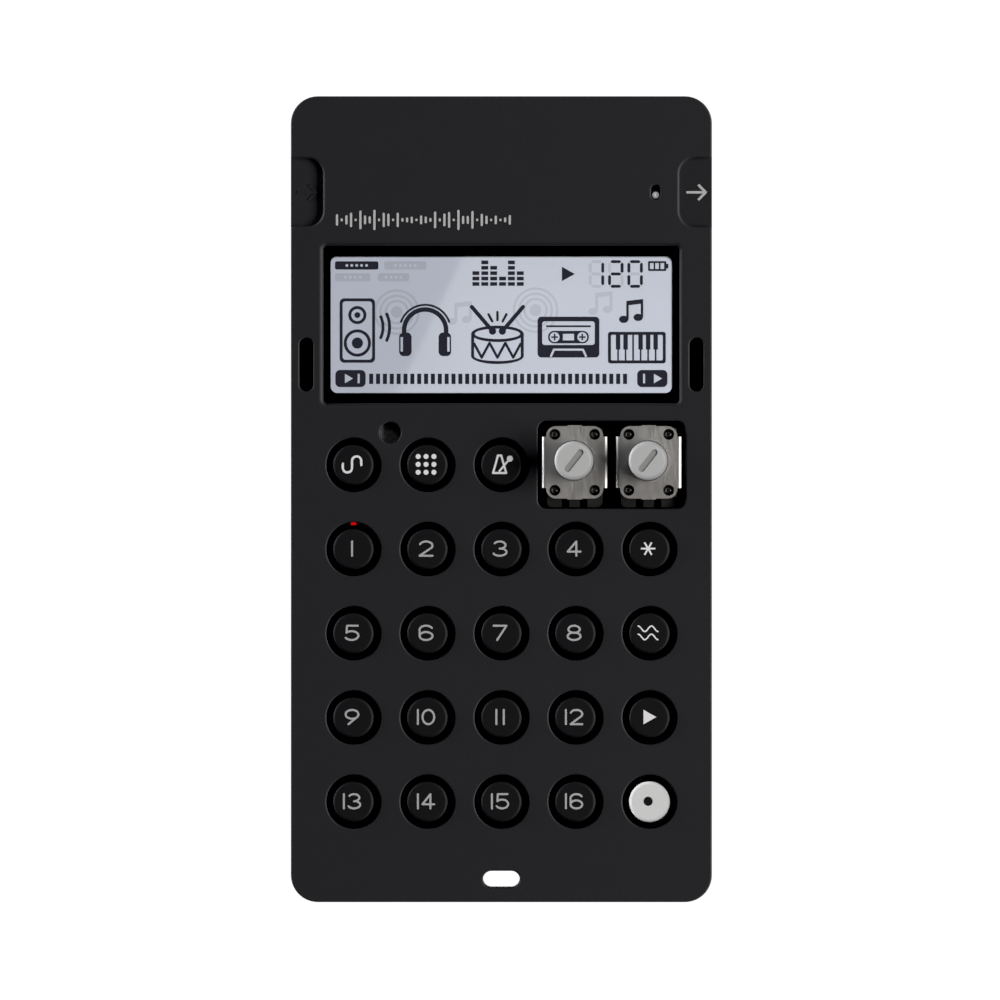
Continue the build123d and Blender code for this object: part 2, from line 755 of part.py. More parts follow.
# Jacks
def make_jack(name, side):
    """Moulded jack body with its plug bore and the seat of its contact."""
    jack_x = side * (jack_outer - jack_length / 2)
    jack_top = board_front + jack_height
    with BuildPart() as jack:
        with BuildSketch(Plane((jack_x, jack_y, board_front))):
            RectangleRounded(jack_length, jack_width, jack_corner_radius)
        extrude(amount=jack_height)
        with BuildSketch(Plane.YZ.offset(side * jack_outer)):
            with Locations((jack_y, jack_z)):
                Circle(jack_bore / 2)
        extrude(amount=-side * jack_bore_depth, mode=Mode.SUBTRACT)
        with BuildSketch(Plane((jack_x, contact_y, jack_top))):
            Rectangle(contact_length + 2 * fit_gap, contact_width + 2 * fit_gap)
        extrude(amount=-contact_thickness, mode=Mode.SUBTRACT)
        if side > 0:
            with BuildSketch(Plane((lens_x, lens_y, jack_top))):
                Circle(lens_diameter / 2 + fit_gap / 2)
            extrude(amount=-lens_seat_depth, mode=Mode.SUBTRACT)
    write(jack, name)


contact_y = jack_y + jack_width / 4
make_jack("left_jack", -1)
make_jack("right_jack", 1)

with BuildPart() as jack_collars:
    for collar_side in (-1, 1):
        with BuildSketch(Plane.YZ.offset(collar_side * jack_outer)):
            with Locations((jack_y, jack_z)):
                Circle(collar_outer / 2)
                Circle(jack_bore / 2, mode=Mode.SUBTRACT)
        extrude(amount=collar_side * collar_length)
write(jack_collars, "jack_collars")

with BuildPart() as jack_contacts:
    contact_x = jack_outer - jack_length / 2
    with BuildSketch(Plane((0, contact_y, board_front + jack_height - contact_thickness))):
        with Locations((-contact_x, 0), (contact_x, 0)):
            Rectangle(contact_length, contact_width)
    extrude(amount=contact_thickness)
write(jack_contacts, "jack_contacts")

# Status lens on the right jack, under the small hole in the face
with BuildPart() as status_lens:
    with BuildSketch(Plane((lens_x, lens_y, board_front + jack_height - lens_seat_depth))):
        Circle(lens_diameter / 2)
    extrude(amount=case_depth - lens_below_face - board_front - jack_height + lens_seat_depth)
    fillet(status_lens.edges().group_by(Axis.Z)[-1], lens_diameter / 2 - fit_gap)
write(status_lens, "status_lens")

# Microphone capsule in its rubber boot
boot_top = under_face - fit_gap
capsule_bottom = boot_top - microphone_thickness
with BuildPart() as microphone_boot:
    with BuildSketch(Plane((microphone_x, microphone_y, board_front))):
        Circle(boot_diameter / 2)
    extrude(amount=boot_top - board_front)
    with BuildSketch(Plane((microphone_x, microphone_y, capsule_bottom))):
        Circle(microphone_diameter / 2 + fit_gap)
    extrude(amount=microphone_thickness, mode=Mode.SUBTRACT)
write(microphone_boot, "microphone_boot")

with BuildPart() as microphone:
    with BuildSketch(Plane((microphone_x, microphone_y, capsule_bottom))):
        Circle(microphone_diameter / 2)
    extrude(amount=microphone_thickness)
write(microphone, "microphone")

# Battery bay
cell_z = rear_wall + cell_floor_gap + cell_diameter / 2
holder_bottom = rear_wall + holder_lift
holder_inner = holder_length / 2 - holder_wall

with BuildPart() as battery_holder:
    with BuildSketch(Plane((0, bay_y, holder_bottom))):
        Rectangle(holder_length, holder_width)
        Rectangle(2 * holder_inner, holder_width - 2 * holder_wall, mode=Mode.SUBTRACT)
    extrude(amount=board_back - holder_bottom)
    with BuildSketch(Plane((0, bay_y, cell_z + divider_rise))):
        Rectangle(2 * holder_inner, divider_thickness)
    extrude(amount=board_back - cell_z - divider_rise)
write(battery_holder, "battery_holder")


def make_cell(name, y, direction):
    """One cell along X with its nub at the end that direction points to."""
    nub_end = direction * (holder_inner - terminal_thickness)
    foot = nub_end - direction * cell_length
    with BuildPart() as cell:
        with BuildSketch(Plane(origin=(foot, y, cell_z), x_dir=(0, 1, 0), z_dir=(direction, 0, 0))):
            Circle(cell_diameter / 2)
        extrude(amount=cell_length - nub_length)
        fillet(cell.edges().filter_by(GeomType.CIRCLE), cell_edge_radius)
        with BuildSketch(Plane(origin=(nub_end, y, cell_z), x_dir=(0, 1, 0), z_dir=(direction, 0, 0))):
            Circle(nub_diameter / 2)
        extrude(amount=-nub_length)
    write(cell, name)


cell_rows = ((1, "upper_battery", bay_y + cell_pitch / 2), (-1, "lower_battery", bay_y - cell_pitch / 2))
for cell_direction, cell_name, cell_y in cell_rows:
    make_cell(cell_name, cell_y, cell_direction)

with BuildPart() as battery_contacts:
    for plate_direction, _, plate_y in cell_rows:
        with BuildSketch(Plane((plate_direction * (holder_inner - terminal_thickness / 2), plate_y, cell_z))):
            Rectangle(terminal_thickness, terminal_width)
        extrude(amount=terminal_width / 2, both=True)
write(battery_contacts, "battery_contacts")

# Leaf springs at the flat ends of the cells
with BuildPart() as battery_springs:
    for spring_direction, _, spring_y in cell_rows:
        spring_x = -spring_direction * (holder_inner - terminal_thickness)
        tip = spring_direction * (spring_length - spring_gauge - fit_gap)
        with BuildSketch(Plane((spring_x, spring_y, cell_z))):
            with Locations((-spring_direction * terminal_thickness / 2, 0)):
                Rectangle(terminal_thickness, terminal_width)
            with BuildLine():
                Polyline((0, -spring_span / 2), (tip, 0), (spring_direction * 2 * spring_gauge, spring_span / 2))
            trace(line_width=spring_gauge)
        extrude(amount=spring_span / 2, both=True)
write(battery_springs, "battery_springs")

# Speaker
speaker_plane = Plane(origin=(0, speaker_y, rear_wall), x_dir=(1, 0, 0), z_dir=(0, -1, 0))
speaker_axis = Axis((0, speaker_y, 0), (0, 0, 1))
rim_inner = speaker_diameter / 2 - speaker_wall
back_radius = speaker_back_diameter / 2
coil_radius = voice_coil_diameter / 2

with BuildPart() as speaker_basket:
    with BuildSketch(speaker_plane):
        with BuildLine():
            Polyline(
                (rim_inner, 0),
                (speaker_diameter / 2, 0),
                (speaker_diameter / 2, speaker_rim_height),
                (back_radius, speaker_height),
                (coil_radius, speaker_height),
                (coil_radius, speaker_height - speaker_wall),
                (back_radius - speaker_wall / 2, speaker_height - speaker_wall),
                (rim_inner, speaker_rim_height - speaker_wall / 2),
                close=True,
            )
        make_face()
    revolve(axis=speaker_axis)
write(speaker_basket, "speaker_basket")

cone_rim = rim_inner - fit_gap
cone_depth = speaker_height - speaker_wall - cone_clearance - cone_thickness
with BuildPart() as speaker_cone:
    with BuildSketch(speaker_plane):
        with BuildLine():
            Polyline(
                (0, cone_depth / 2),
                (coil_radius, cone_depth),
                (cone_rim - 2 * speaker_wall, cone_clearance),
                (cone_rim, cone_clearance),
                (cone_rim, cone_clearance + cone_thickness),
                (cone_rim - 2 * speaker_wall, cone_clearance + cone_thickness),
                (coil_radius, cone_depth + cone_thickness),
                (0, cone_depth / 2 + cone_thickness),
                close=True,
            )
        make_face()
    revolve(axis=speaker_axis)
write(speaker_cone, "speaker_cone")

with BuildPart() as speaker_magnet:
    with BuildSketch(Plane((0, speaker_y, rear_wall + speaker_height))):
        Circle(magnet_diameter / 2)
    extrude(amount=magnet_thickness)
write(speaker_magnet, "speaker_magnet")

# Components on the back of the board, between the speaker and the battery bay
component_y = (speaker_y + speaker_diameter / 2 + door_inner_y) / 2
with BuildPart() as processor_chip:
    with BuildSketch(Plane((-processor_width, component_y, board_back))):
        RectangleRounded(processor_width, processor_width, component_corner_radius)
    extrude(amount=-processor_height)
write(processor_chip, "processor_chip")

with BuildPart() as memory_chip:
    with BuildSketch(Plane((memory_length, component_y, board_back))):
        RectangleRounded(memory_length, memory_width, component_corner_radius)
    extrude(amount=-memory_height)
write(memory_chip, "memory_chip")

with BuildPart() as clock_crystal:
    with BuildSketch(Plane((-processor_width, component_y - processor_width, board_back))):
        RectangleRounded(crystal_length, crystal_width, component_corner_radius)
    extrude(amount=-crystal_height)
write(clock_crystal, "clock_crystal")

with BuildPart() as capacitors:
    with BuildSketch(Plane((2 * memory_length, component_y + processor_width, board_back))):
        with GridLocations(capacitor_pitch, 0, 2, 1):
            Circle(capacitor_diameter / 2)
    extrude(amount=-capacitor_height)
write(capacitors, "capacitors")
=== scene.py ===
"""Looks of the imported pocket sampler: finishes, printed legends, display segments, lamp and studio.

The file is laid out as an add-on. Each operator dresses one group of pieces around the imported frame, and
the panel in the sidebar lists them in the order in which main() runs them.
"""

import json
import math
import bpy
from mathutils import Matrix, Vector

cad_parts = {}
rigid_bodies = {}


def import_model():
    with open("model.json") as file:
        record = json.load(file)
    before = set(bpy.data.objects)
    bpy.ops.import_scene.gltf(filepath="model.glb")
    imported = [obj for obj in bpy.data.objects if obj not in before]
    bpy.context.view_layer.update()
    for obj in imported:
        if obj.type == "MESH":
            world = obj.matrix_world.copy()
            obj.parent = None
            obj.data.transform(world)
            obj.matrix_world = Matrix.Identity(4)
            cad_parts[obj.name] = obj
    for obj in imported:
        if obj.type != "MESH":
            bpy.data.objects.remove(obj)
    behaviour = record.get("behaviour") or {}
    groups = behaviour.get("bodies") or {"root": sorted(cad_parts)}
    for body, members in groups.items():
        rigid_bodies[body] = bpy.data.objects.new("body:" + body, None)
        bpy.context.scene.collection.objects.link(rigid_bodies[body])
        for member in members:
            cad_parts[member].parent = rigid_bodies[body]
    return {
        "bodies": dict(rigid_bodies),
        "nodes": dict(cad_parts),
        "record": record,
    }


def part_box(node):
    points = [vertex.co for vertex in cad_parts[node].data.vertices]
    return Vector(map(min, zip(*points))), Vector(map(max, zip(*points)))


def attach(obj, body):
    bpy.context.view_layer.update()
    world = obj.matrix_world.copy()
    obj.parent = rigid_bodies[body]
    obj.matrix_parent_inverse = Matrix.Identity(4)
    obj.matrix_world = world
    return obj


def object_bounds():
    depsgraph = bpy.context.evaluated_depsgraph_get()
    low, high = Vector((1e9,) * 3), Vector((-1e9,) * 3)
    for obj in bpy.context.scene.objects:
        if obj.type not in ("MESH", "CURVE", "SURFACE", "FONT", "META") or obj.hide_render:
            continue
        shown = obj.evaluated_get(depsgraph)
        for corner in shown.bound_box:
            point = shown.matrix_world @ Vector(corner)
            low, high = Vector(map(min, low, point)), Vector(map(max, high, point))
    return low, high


bl_info = {
    "name": "Pocket Sampler Looks",
    "version": (1, 0, 0),
    "blender": (4, 5, 0),
    "location": "3D View > Sidebar > Sampler",
    "description": "Finishes, legends, display segments and studio of a pocket music sampler",
    "category": "Object",
}

import bpy
from bpy.props import FloatProperty, FloatVectorProperty, IntProperty, IntVectorProperty, PointerProperty
from bpy.types import Operator, Panel, PropertyGroup
from mathutils import Vector, geometry

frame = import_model()
CAD_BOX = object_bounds()
MM = 0.001
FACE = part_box("front_cover")[1].z
KEYS = sorted(body for body in frame["bodies"] if body.startswith("key_"))
SLOT_OF = {row["node"]: row["material_slot"] for row in frame["record"]["subparts"]}


# Settings that a user would change


def grey(value):
    """A neutral colour."""
    return (value, value, value)


def colour_setting(name, owner, default):
    """The colour of something, in the scene's linear space."""
    return FloatVectorProperty(
        name=name, description=f"Colour of {owner}", default=default, subtype="COLOR", min=0.0, max=1.0
    )


def length_setting(name, description, millimetres, least=0.0):
    """A length property, written here in millimetres and kept in metres."""
    return FloatProperty(
        name=name, description=description, default=millimetres * MM, unit="LENGTH", min=least
    )


def strength_setting(name, description, default):
    """A radiance or another plain factor."""
    return FloatProperty(name=name, description=description, default=default, min=0.0)


class CaseLooks(PropertyGroup):
    """Rubber of the case and the marks on it."""

    rubber: colour_setting("Rubber", "the case's rubber", (0.0060, 0.0056, 0.0084))
    grain: length_setting("Grain", "Size of the grain moulded into the rubber", 0.22)
    relief: length_setting("Relief", "Depth of the grain", 0.012)
    ink: colour_setting("Ink", "the marks printed on the case", (0.5, 0.5, 0.51))
    ink_thickness: length_setting("Ink thickness", "Thickness of every printed mark", 0.02)
    arrow_length: length_setting("Arrow length", "Length of the arrows beside the jacks", 2.95)
    arrow_head: length_setting("Arrow head", "Height of the arrows' heads", 2.3)
    arrow_stroke: length_setting("Arrow stroke", "Line width of the arrows", 0.37)
    emboss: length_setting("Emboss", "Height of the raised arrow on the input side", 0.08)
    wave_length: length_setting("Wave length", "Length of the printed sound wave above the display", 26.6)
    wave_height: length_setting("Wave height", "Height of the wave's tallest bar", 3.2)
    wave_bar: length_setting("Wave bar", "Width of one bar of the wave", 0.34)
    wave_bars: IntProperty(name="Wave bars", description="Number of bars in the wave", default=38, min=2)


class KeyLooks(PropertyGroup):
    """Key rubber and the legends on it."""

    rubber: colour_setting("Rubber", "the black keys", (0.0052, 0.0052, 0.0064))
    # Painted shade: every key below its cap, the black ones and the white one, is coloured near-black so the
    # ring gaps read dark.
    base: colour_setting("Base", "every key below its cap", (0.0006, 0.0006, 0.0007))
    record: colour_setting("Record key", "the record key", grey(0.82))
    record_dot: colour_setting("Record dot", "the dot on the record key", grey(0.003))
    number: colour_setting("Number", "the numbers", (0.43, 0.43, 0.44))
    picture: colour_setting("Picture", "the pictograms", (0.80, 0.80, 0.81))
    digit_height: length_setting("Digit height", "Height of the numbers", 2.47)
    digit_width: length_setting("Digit width", "Width of one number", 2.26)
    narrow_width: length_setting("Narrow width", "Width of the second number of a pair", 2.08)
    pair_gap: length_setting("Pair gap", "Gap between the two numbers of a pair", 0.4)
    stroke: length_setting("Stroke", "Line width of the numbers", 0.3)
    icon_stroke: length_setting("Icon stroke", "Line width of the pictograms", 0.43)
    shift: length_setting("Shift", "Sideways place of the legends on their keys", -0.2, least=-1.0)
    rise: length_setting("Rise", "Upward place of the legends on their keys", 0.09, least=-1.0)
    cap_depth: length_setting("Cap depth", "Height of the keys' caps", 1.2)
    cap_fade: length_setting("Cap fade", "Height over which a cap's colour runs into its base", 0.1)
    record_dot_size: length_setting("Record dot size", "Diameter of the dot on the record key", 1.4)


class ControlLooks(PropertyGroup):
    """Control shafts and their sheet-metal plates."""

    shaft: colour_setting("Shaft", "the shafts' tops", grey(0.50))
    # Painted shade: the shafts' slot floors and sides are coloured darker than their tops.
    shaft_slot_painted_shade: colour_setting("Shaft side", "the shafts' slots and sides", grey(0.28))
    plate: colour_setting("Plate", "the tinned plates", (0.60, 0.586, 0.57))
    plate_roughness: strength_setting("Plate roughness", "Mean roughness of the tinned plates", 0.5)


class DisplayLooks(PropertyGroup):
    """Liquid crystal cell and the segments in it."""

    cell: colour_setting("Cell", "the clear cell over its reflector", (0.60, 0.635, 0.735))
    segment: colour_setting("Segment", "a dark segment", (0.016, 0.016, 0.03))
    ghost: colour_setting("Ghost", "a segment that is off", (0.50, 0.525, 0.605))
    segment_thickness: length_setting("Segment thickness", "Thickness of a segment on the cell", 0.02)
    line: length_setting("Line", "Line width of the pictures", 0.46)
    ticks: IntProperty(name="Ticks", description="Number of ticks on the length bar", default=38, min=2)
    number: IntVectorProperty(
        name="Number", description="Digits of the number shown", default=(1, 2, 0), size=3, min=0, max=9
    )
    digit_height: length_setting("Digit height", "Height of the number", 4.2)
    digit_width: length_setting("Digit width", "Width of one digit of the number", 2.35)


class LampLooks(PropertyGroup):
    """Lamps and the status lens."""

    lit: colour_setting("Lit", "the lamp that is on", (1.0, 0.012, 0.016))
    glow: strength_setting("Glow", "Radiance of the lamp that is on", 0.55)
    lens: colour_setting("Lens", "the status lens", (0.85, 0.85, 0.86))
    lens_glow: strength_setting("Lens glow", "Radiance of the status lens", 0.26)
    lit_key: IntProperty(
        name="Lit key", description="Number of the step key whose lamp is on", default=1, min=1, max=16
    )


class StageLooks(PropertyGroup):
    """Floor, lights and camera."""

    floor: length_setting("Floor", "Side of the square floor", 12000.0)
    floor_glow: strength_setting("Floor glow", "Radiance of the white floor", 1.04)
    zenith: strength_setting("Zenith", "Radiance of the studio overhead", 0.008)
    horizon: strength_setting("Horizon", "Radiance of the studio at floor level", 0.7)
    key_light: strength_setting("Key light", "Radiance of the softbox on the right", 19.6)
    key_tint: colour_setting("Key tint", "the softbox on the right", (1.0, 0.975, 0.95))
    side_light: strength_setting("Side light", "Radiance of the low softbox on the left", 40.0)
    side_tint: colour_setting("Side tint", "the low softbox on the left", (0.93, 0.965, 1.0))
    end_light: strength_setting("End light", "Radiance of the softbox beyond the jack end", 1.5)
    control_light: strength_setting("Control light", "Radiance of the softbox over the controls", 11.6)
    control_tint: colour_setting("Control tint", "the softbox over the controls", (1.0, 0.99, 0.98))
    display_light: strength_setting("Display light", "Radiance of the softbox over the display", 20.3)
    card_light: strength_setting("Card light", "Radiance of the card that the display mirrors", 2.3)
    black_level: strength_setting("Black level", "Radiance that the picture shows as black", 0.003)
    field: length_setting("Field", "Width of the picture at the height of the face", 152.0)
    distance: length_setting("Distance", "Height of the camera above the face", 5000.0)
    aim: FloatVectorProperty(
        name="Aim", description="Point of the face at the picture's middle", size=2, unit="LENGTH",
        default=(-0.21 * MM, -0.125 * MM),
    )


# Finishes


# Span of a noise's values that colour and gloss follow
NOISE_LOW = 0.3
NOISE_HIGH = 0.7
# Clear, glossy front film of the display
GLOSSY_FILM = {"Coat_Weight": 1.0, "Coat_Roughness": 0.015, "Coat_IOR": 1.5, "specular": 0.0}


class Nodes:
    """A node tree that starts empty."""

    def __init__(self, owner):
        owner.use_nodes = True
        self.tree = owner.node_tree
        self.tree.nodes.clear()

    def add(self, kind, **sockets):
        """A new node of that kind, with these values on its sockets."""
        node = self.tree.nodes.new(kind)
        for socket, value in sockets.items():
            node.inputs[socket.replace("_", " ")].default_value = value
        return node

    def join(self, source, target):
        """A link between two sockets."""
        self.tree.links.new(source, target)

    def ramp(self, factor, first, last, low, high):
        """A colour that runs from first to last as the factor rises from low to high."""
        ramp = self.add("ShaderNodeValToRGB")
        start, end = ramp.color_ramp.elements
        start.position = low
        start.color = (*first, 1.0)
        end.position = high
        end.color = (*last, 1.0)
        self.join(factor, ramp.inputs["Fac"])
        return ramp.outputs["Color"]

    def span(self, factor, start, end, low=0.0, high=1.0):
        """A factor that runs from low to high as another rises from start to end."""
        span = self.add("ShaderNodeMapRange", From_Min=start, From_Max=end, To_Min=low, To_Max=high)
        self.join(factor, span.inputs["Value"])
        return span.outputs["Result"]


class Finish(Nodes):
    """A procedural finish: one shader, with noises that follow the piece's own coordinates."""

    def __init__(self, name, specular=0.5, **sockets):
        self.material = bpy.data.materials.new(name)
        super().__init__(self.material)
        self.shader = self.add("ShaderNodeBsdfPrincipled", Specular_IOR_Level=specular, **sockets)
        output = self.add("ShaderNodeOutputMaterial")
        self.join(self.shader.outputs["BSDF"], output.inputs["Surface"])

    def place(self, size=1.0, stretch=(1, 1, 1), origin=(0, 0, 0)):
        """The piece's own coordinates about an origin, in units of size metres, drawn out by stretch."""
        scale = [1 / (size * share) for share in stretch]
        start = [-o * s for o, s in zip(origin, scale)]
        where = self.add("ShaderNodeTexCoord")
        mapping = self.add("ShaderNodeMapping", Scale=scale, Location=start)
        self.join(where.outputs["Object"], mapping.inputs["Vector"])
        return mapping.outputs["Vector"]

    def noise(self, grain, detail=2.0, stretch=(1, 1, 1)):
        """Soft noise with grains of that size."""
        texture = self.add("ShaderNodeTexNoise", Scale=1.0, Detail=detail)
        self.join(self.place(grain, stretch), texture.inputs["Vector"])
        return texture.outputs[0]

    def along(self, axis, start, end):
        """A factor that rises from 0 to 1 between two places along an axis."""
        split = self.add("ShaderNodeSeparateXYZ")
        self.join(self.place(), split.inputs["Vector"])
        return self.span(split.outputs[axis], start, end)

    def tint(self, factor, dark, light, low=NOISE_LOW, high=NOISE_HIGH):
        """Base colour that runs from dark to light as the factor rises from low to high."""
        self.join(self.ramp(factor, dark, light, low, high), self.shader.inputs["Base Color"])

    def polish(self, factor, first, last):
        """Roughness that runs from first to last as the factor rises."""
        roughness = self.span(factor, NOISE_LOW, NOISE_HIGH, first, last)
        self.join(roughness, self.shader.inputs["Roughness"])

    def relief(self, factor, depth):
        """Surface relief of that depth."""
        bump = self.add("ShaderNodeBump", Distance=depth)
        self.join(factor, bump.inputs["Height"])
        self.join(bump.outputs["Normal"], self.shader.inputs["Normal"])


def shades(colour, spread):
    """A darker and a lighter shade of a colour."""
    return tuple(c * (1 - spread) for c in colour), tuple(min(1.0, c * (1 + spread)) for c in colour)


def moulded(name, colour, grain=(0.2, 0.006), roughness=(0.4, 0.55), spread=0.12, **sockets):
    """Moulded plastic or rubber with a grain of that size and depth in millimetres, and a cloudy gloss."""
    size, depth = (length * MM for length in grain)
    finish = Finish(name, **sockets)
    fine = finish.noise(size)
    clouds = finish.noise(14 * size, detail=3.0)
    finish.tint(fine, *shades(colour, spread))
    finish.polish(clouds, *roughness)
    finish.relief(fine, depth)
    return finish.material


def brushed(name, colour, roughness, draw=(1, 18, 1)):
    """Sheet or turned metal with fine lines drawn out along one axis."""
    finish = Finish(name, Metallic=1.0)
    lines = finish.noise(0.12 * MM, detail=3.0, stretch=draw)
    clouds = finish.noise(2.5 * MM, detail=3.0)
    finish.tint(clouds, *shades(colour, 0.06))
    finish.polish(lines, roughness * 0.8, roughness * 1.2)
    finish.relief(lines, 0.0015 * MM)
    return finish.material


def printed(name, colour, **sockets):
    """Screen-printed ink with a slightly uneven body."""
    finish = Finish(name, **sockets)
    body = finish.noise(0.16 * MM, detail=3.0)
    finish.tint(body, *shades(colour, 0.05))
    finish.polish(body, 0.45, 0.6)
    finish.relief(body, 0.002 * MM)
    return finish.material


def cap_over_painted_shade(name, base, cap, top, depth, fade, roughness=(0.9, 0.62), **sockets):
    """Satin moulding with a cap of another colour, which fades over the last of its depth to a matt base
    whose darker colour is painted shade.
    """
    finish = Finish(name, **sockets)
    # Painted shade: below the cap the colour runs to the darker base colour.
    height = finish.along("Z", top - depth, top - depth + fade)
    finish.tint(height, base, cap)
    finish.polish(height, *roughness)
    finish.relief(finish.noise(0.13 * MM), 0.004 * MM)
    return finish.material


def laminate(name, colour):
    """Solder mask over fine copper tracks."""
    finish = Finish(name, specular=0.12)
    dark, light = shades(colour, 0.2)
    copper = [3 * c for c in colour]
    tracks = finish.add(
        "ShaderNodeTexBrick", Scale=1.0, Mortar_Size=0.06, Color1=(*dark, 1.0), Color2=(*light, 1.0),
        Mortar=(*copper, 1.0),
    )
    finish.join(finish.place(1.6 * MM), tracks.inputs["Vector"])
    finish.join(tracks.outputs["Color"], finish.shader.inputs["Base Color"])
    weave = finish.noise(0.4 * MM)
    finish.polish(weave, 0.3, 0.45)
    finish.relief(weave, 0.004 * MM)
    return finish.material


def pressed_paper(name, colour, centre):
    """Speaker paper with concentric ridges about its middle."""
    finish = Finish(name)
    ridges = finish.add("ShaderNodeTexWave", Scale=1.0, Distortion=0.4)
    ridges.wave_type = "RINGS"
    ridges.rings_direction = "Z"
    finish.join(finish.place(1.1 * MM, origin=centre), ridges.inputs["Vector"])
    fibres = finish.noise(0.3 * MM, detail=4.0)
    finish.tint(fibres, *shades(colour, 0.35))
    finish.polish(fibres, 0.7, 0.9)
    finish.relief(ridges.outputs["Fac"], 0.05 * MM)
    return finish.material


def jacketed(name, jacket, band, node):
    """A cell's printed jacket, of one colour up to its middle and of another beyond."""
    low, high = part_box(node)
    middle = (low.x + high.x) / 2
    finish = Finish(name)
    fade = finish.along("X", middle - 0.3 * MM, middle + 0.3 * MM)
    finish.tint(fade, jacket, band, low=0.45, high=0.55)
    scuffs = finish.noise(1.2 * MM, detail=4.0)
    finish.polish(scuffs, 0.22, 0.4)
    finish.relief(scuffs, 0.002 * MM)
    return finish.material


def crystal_cell(name, colour):
    """The display's pale cell under its front film."""
    finish = Finish(name, Roughness=0.5, **GLOSSY_FILM)
    finish.tint(finish.noise(7 * MM), *shades(colour, 0.012))
    return finish.material


def glowing(name, colour, radiance):
    """Lamp resin that glows."""
    finish = Finish(name, Roughness=0.3, Emission_Strength=radiance, Emission_Color=(*colour, 1.0))
    finish.tint(finish.noise(0.3 * MM), *shades(colour, 0.3))
    return finish.material


def dress(slots):
    """Put each finish on every part of the frame that has its slot."""
    for node, slot in SLOT_OF.items():
        if slot in slots:
            frame["nodes"][node].data.materials[0] = slots[slot]


# Flat drawing in millimetres


# Cosine of the sharpest bend that a line takes with a mitre
GENTLE_BEND = 0.75
# Corners that are closer than this are one
SAME_SPOT = 1e-5


def arc(centre, radius, start, end, steps=18):
    """Points along an arc between two angles in degrees; a pair of radii makes it an ellipse."""
    wide, high = radius if isinstance(radius, tuple) else (radius, radius)
    turns = [math.radians(start + (end - start) * step / steps) for step in range(steps + 1)]
    return [(centre[0] + wide * math.cos(turn), centre[1] + high * math.sin(turn)) for turn in turns]


def disc(centre, radius, steps=32):
    """Outline of a full disc or ellipse."""
    return arc(centre, radius, 0, 360 * (steps - 1) / steps, steps - 1)


def slab(x0, y0, x1, y1, corner=0.0):
    """Outline of an upright rectangle, with rounded corners where corner isn't zero."""
    if not corner:
        return [(x0, y0), (x1, y0), (x1, y1), (x0, y1)]
    left, right = x0 + corner, x1 - corner
    low, high = y0 + corner, y1 - corner
    middles = ((right, low), (right, high), (left, high), (left, low))
    return [spot for i, middle in enumerate(middles) for spot in arc(middle, corner, 90 * i - 90, 90 * i, 6)]


def ribbon(points, width, closed=False):
    """Outlines that follow a line at that width, mitred at gentle bends and round at sharp turns."""
    spots = [Vector(point) for point in points]
    spans = list(zip(spots, spots[1:] + spots[:1]))[:None if closed else -1]
    ways = [(end - start).normalized() for start, end in spans]
    outlines = []
    for i, (start, end) in enumerate(spans):
        before = ways[i - 1] if closed or i else ways[i]
        after = ways[(i + 1) % len(ways)] if closed or i + 1 < len(ways) else ways[i]
        sides = []
        for spot, way in ((start, before), (end, after)):
            bend = ways[i].dot(way)
            reach = ways[i].orthogonal() * width / 2
            if bend > GENTLE_BEND:
                reach = (ways[i].orthogonal() + way.orthogonal()) * width / 2 / (1 + bend)
            else:
                outlines.append(disc(spot, width / 2, 16))
            sides.append((spot + reach, spot - reach))
        (a, b), (c, d) = sides
        outlines += [[tuple(a), tuple(b), tuple(d)], [tuple(a), tuple(d), tuple(c)]]
    return outlines


def covers(outline, spot):
    """Whether a closed outline has the spot inside it."""
    crossings = 0
    for start, end in zip(outline, outline[1:] + outline[:1]):
        if (start.y > spot.y) != (end.y > spot.y):
            run = (spot.y - start.y) / (end.y - start.y)
            crossings += spot.x < start.x + run * (end.x - start.x)
    return crossings % 2 == 1


def mesh_object(name, points, faces, material):
    """A mesh with one material, in the scene."""
    mesh = bpy.data.meshes.new(name)
    mesh.from_pydata(points, [], faces)
    mesh.materials.append(material)
    made = bpy.data.objects.new(name, mesh)
    bpy.context.scene.collection.objects.link(made)
    return made


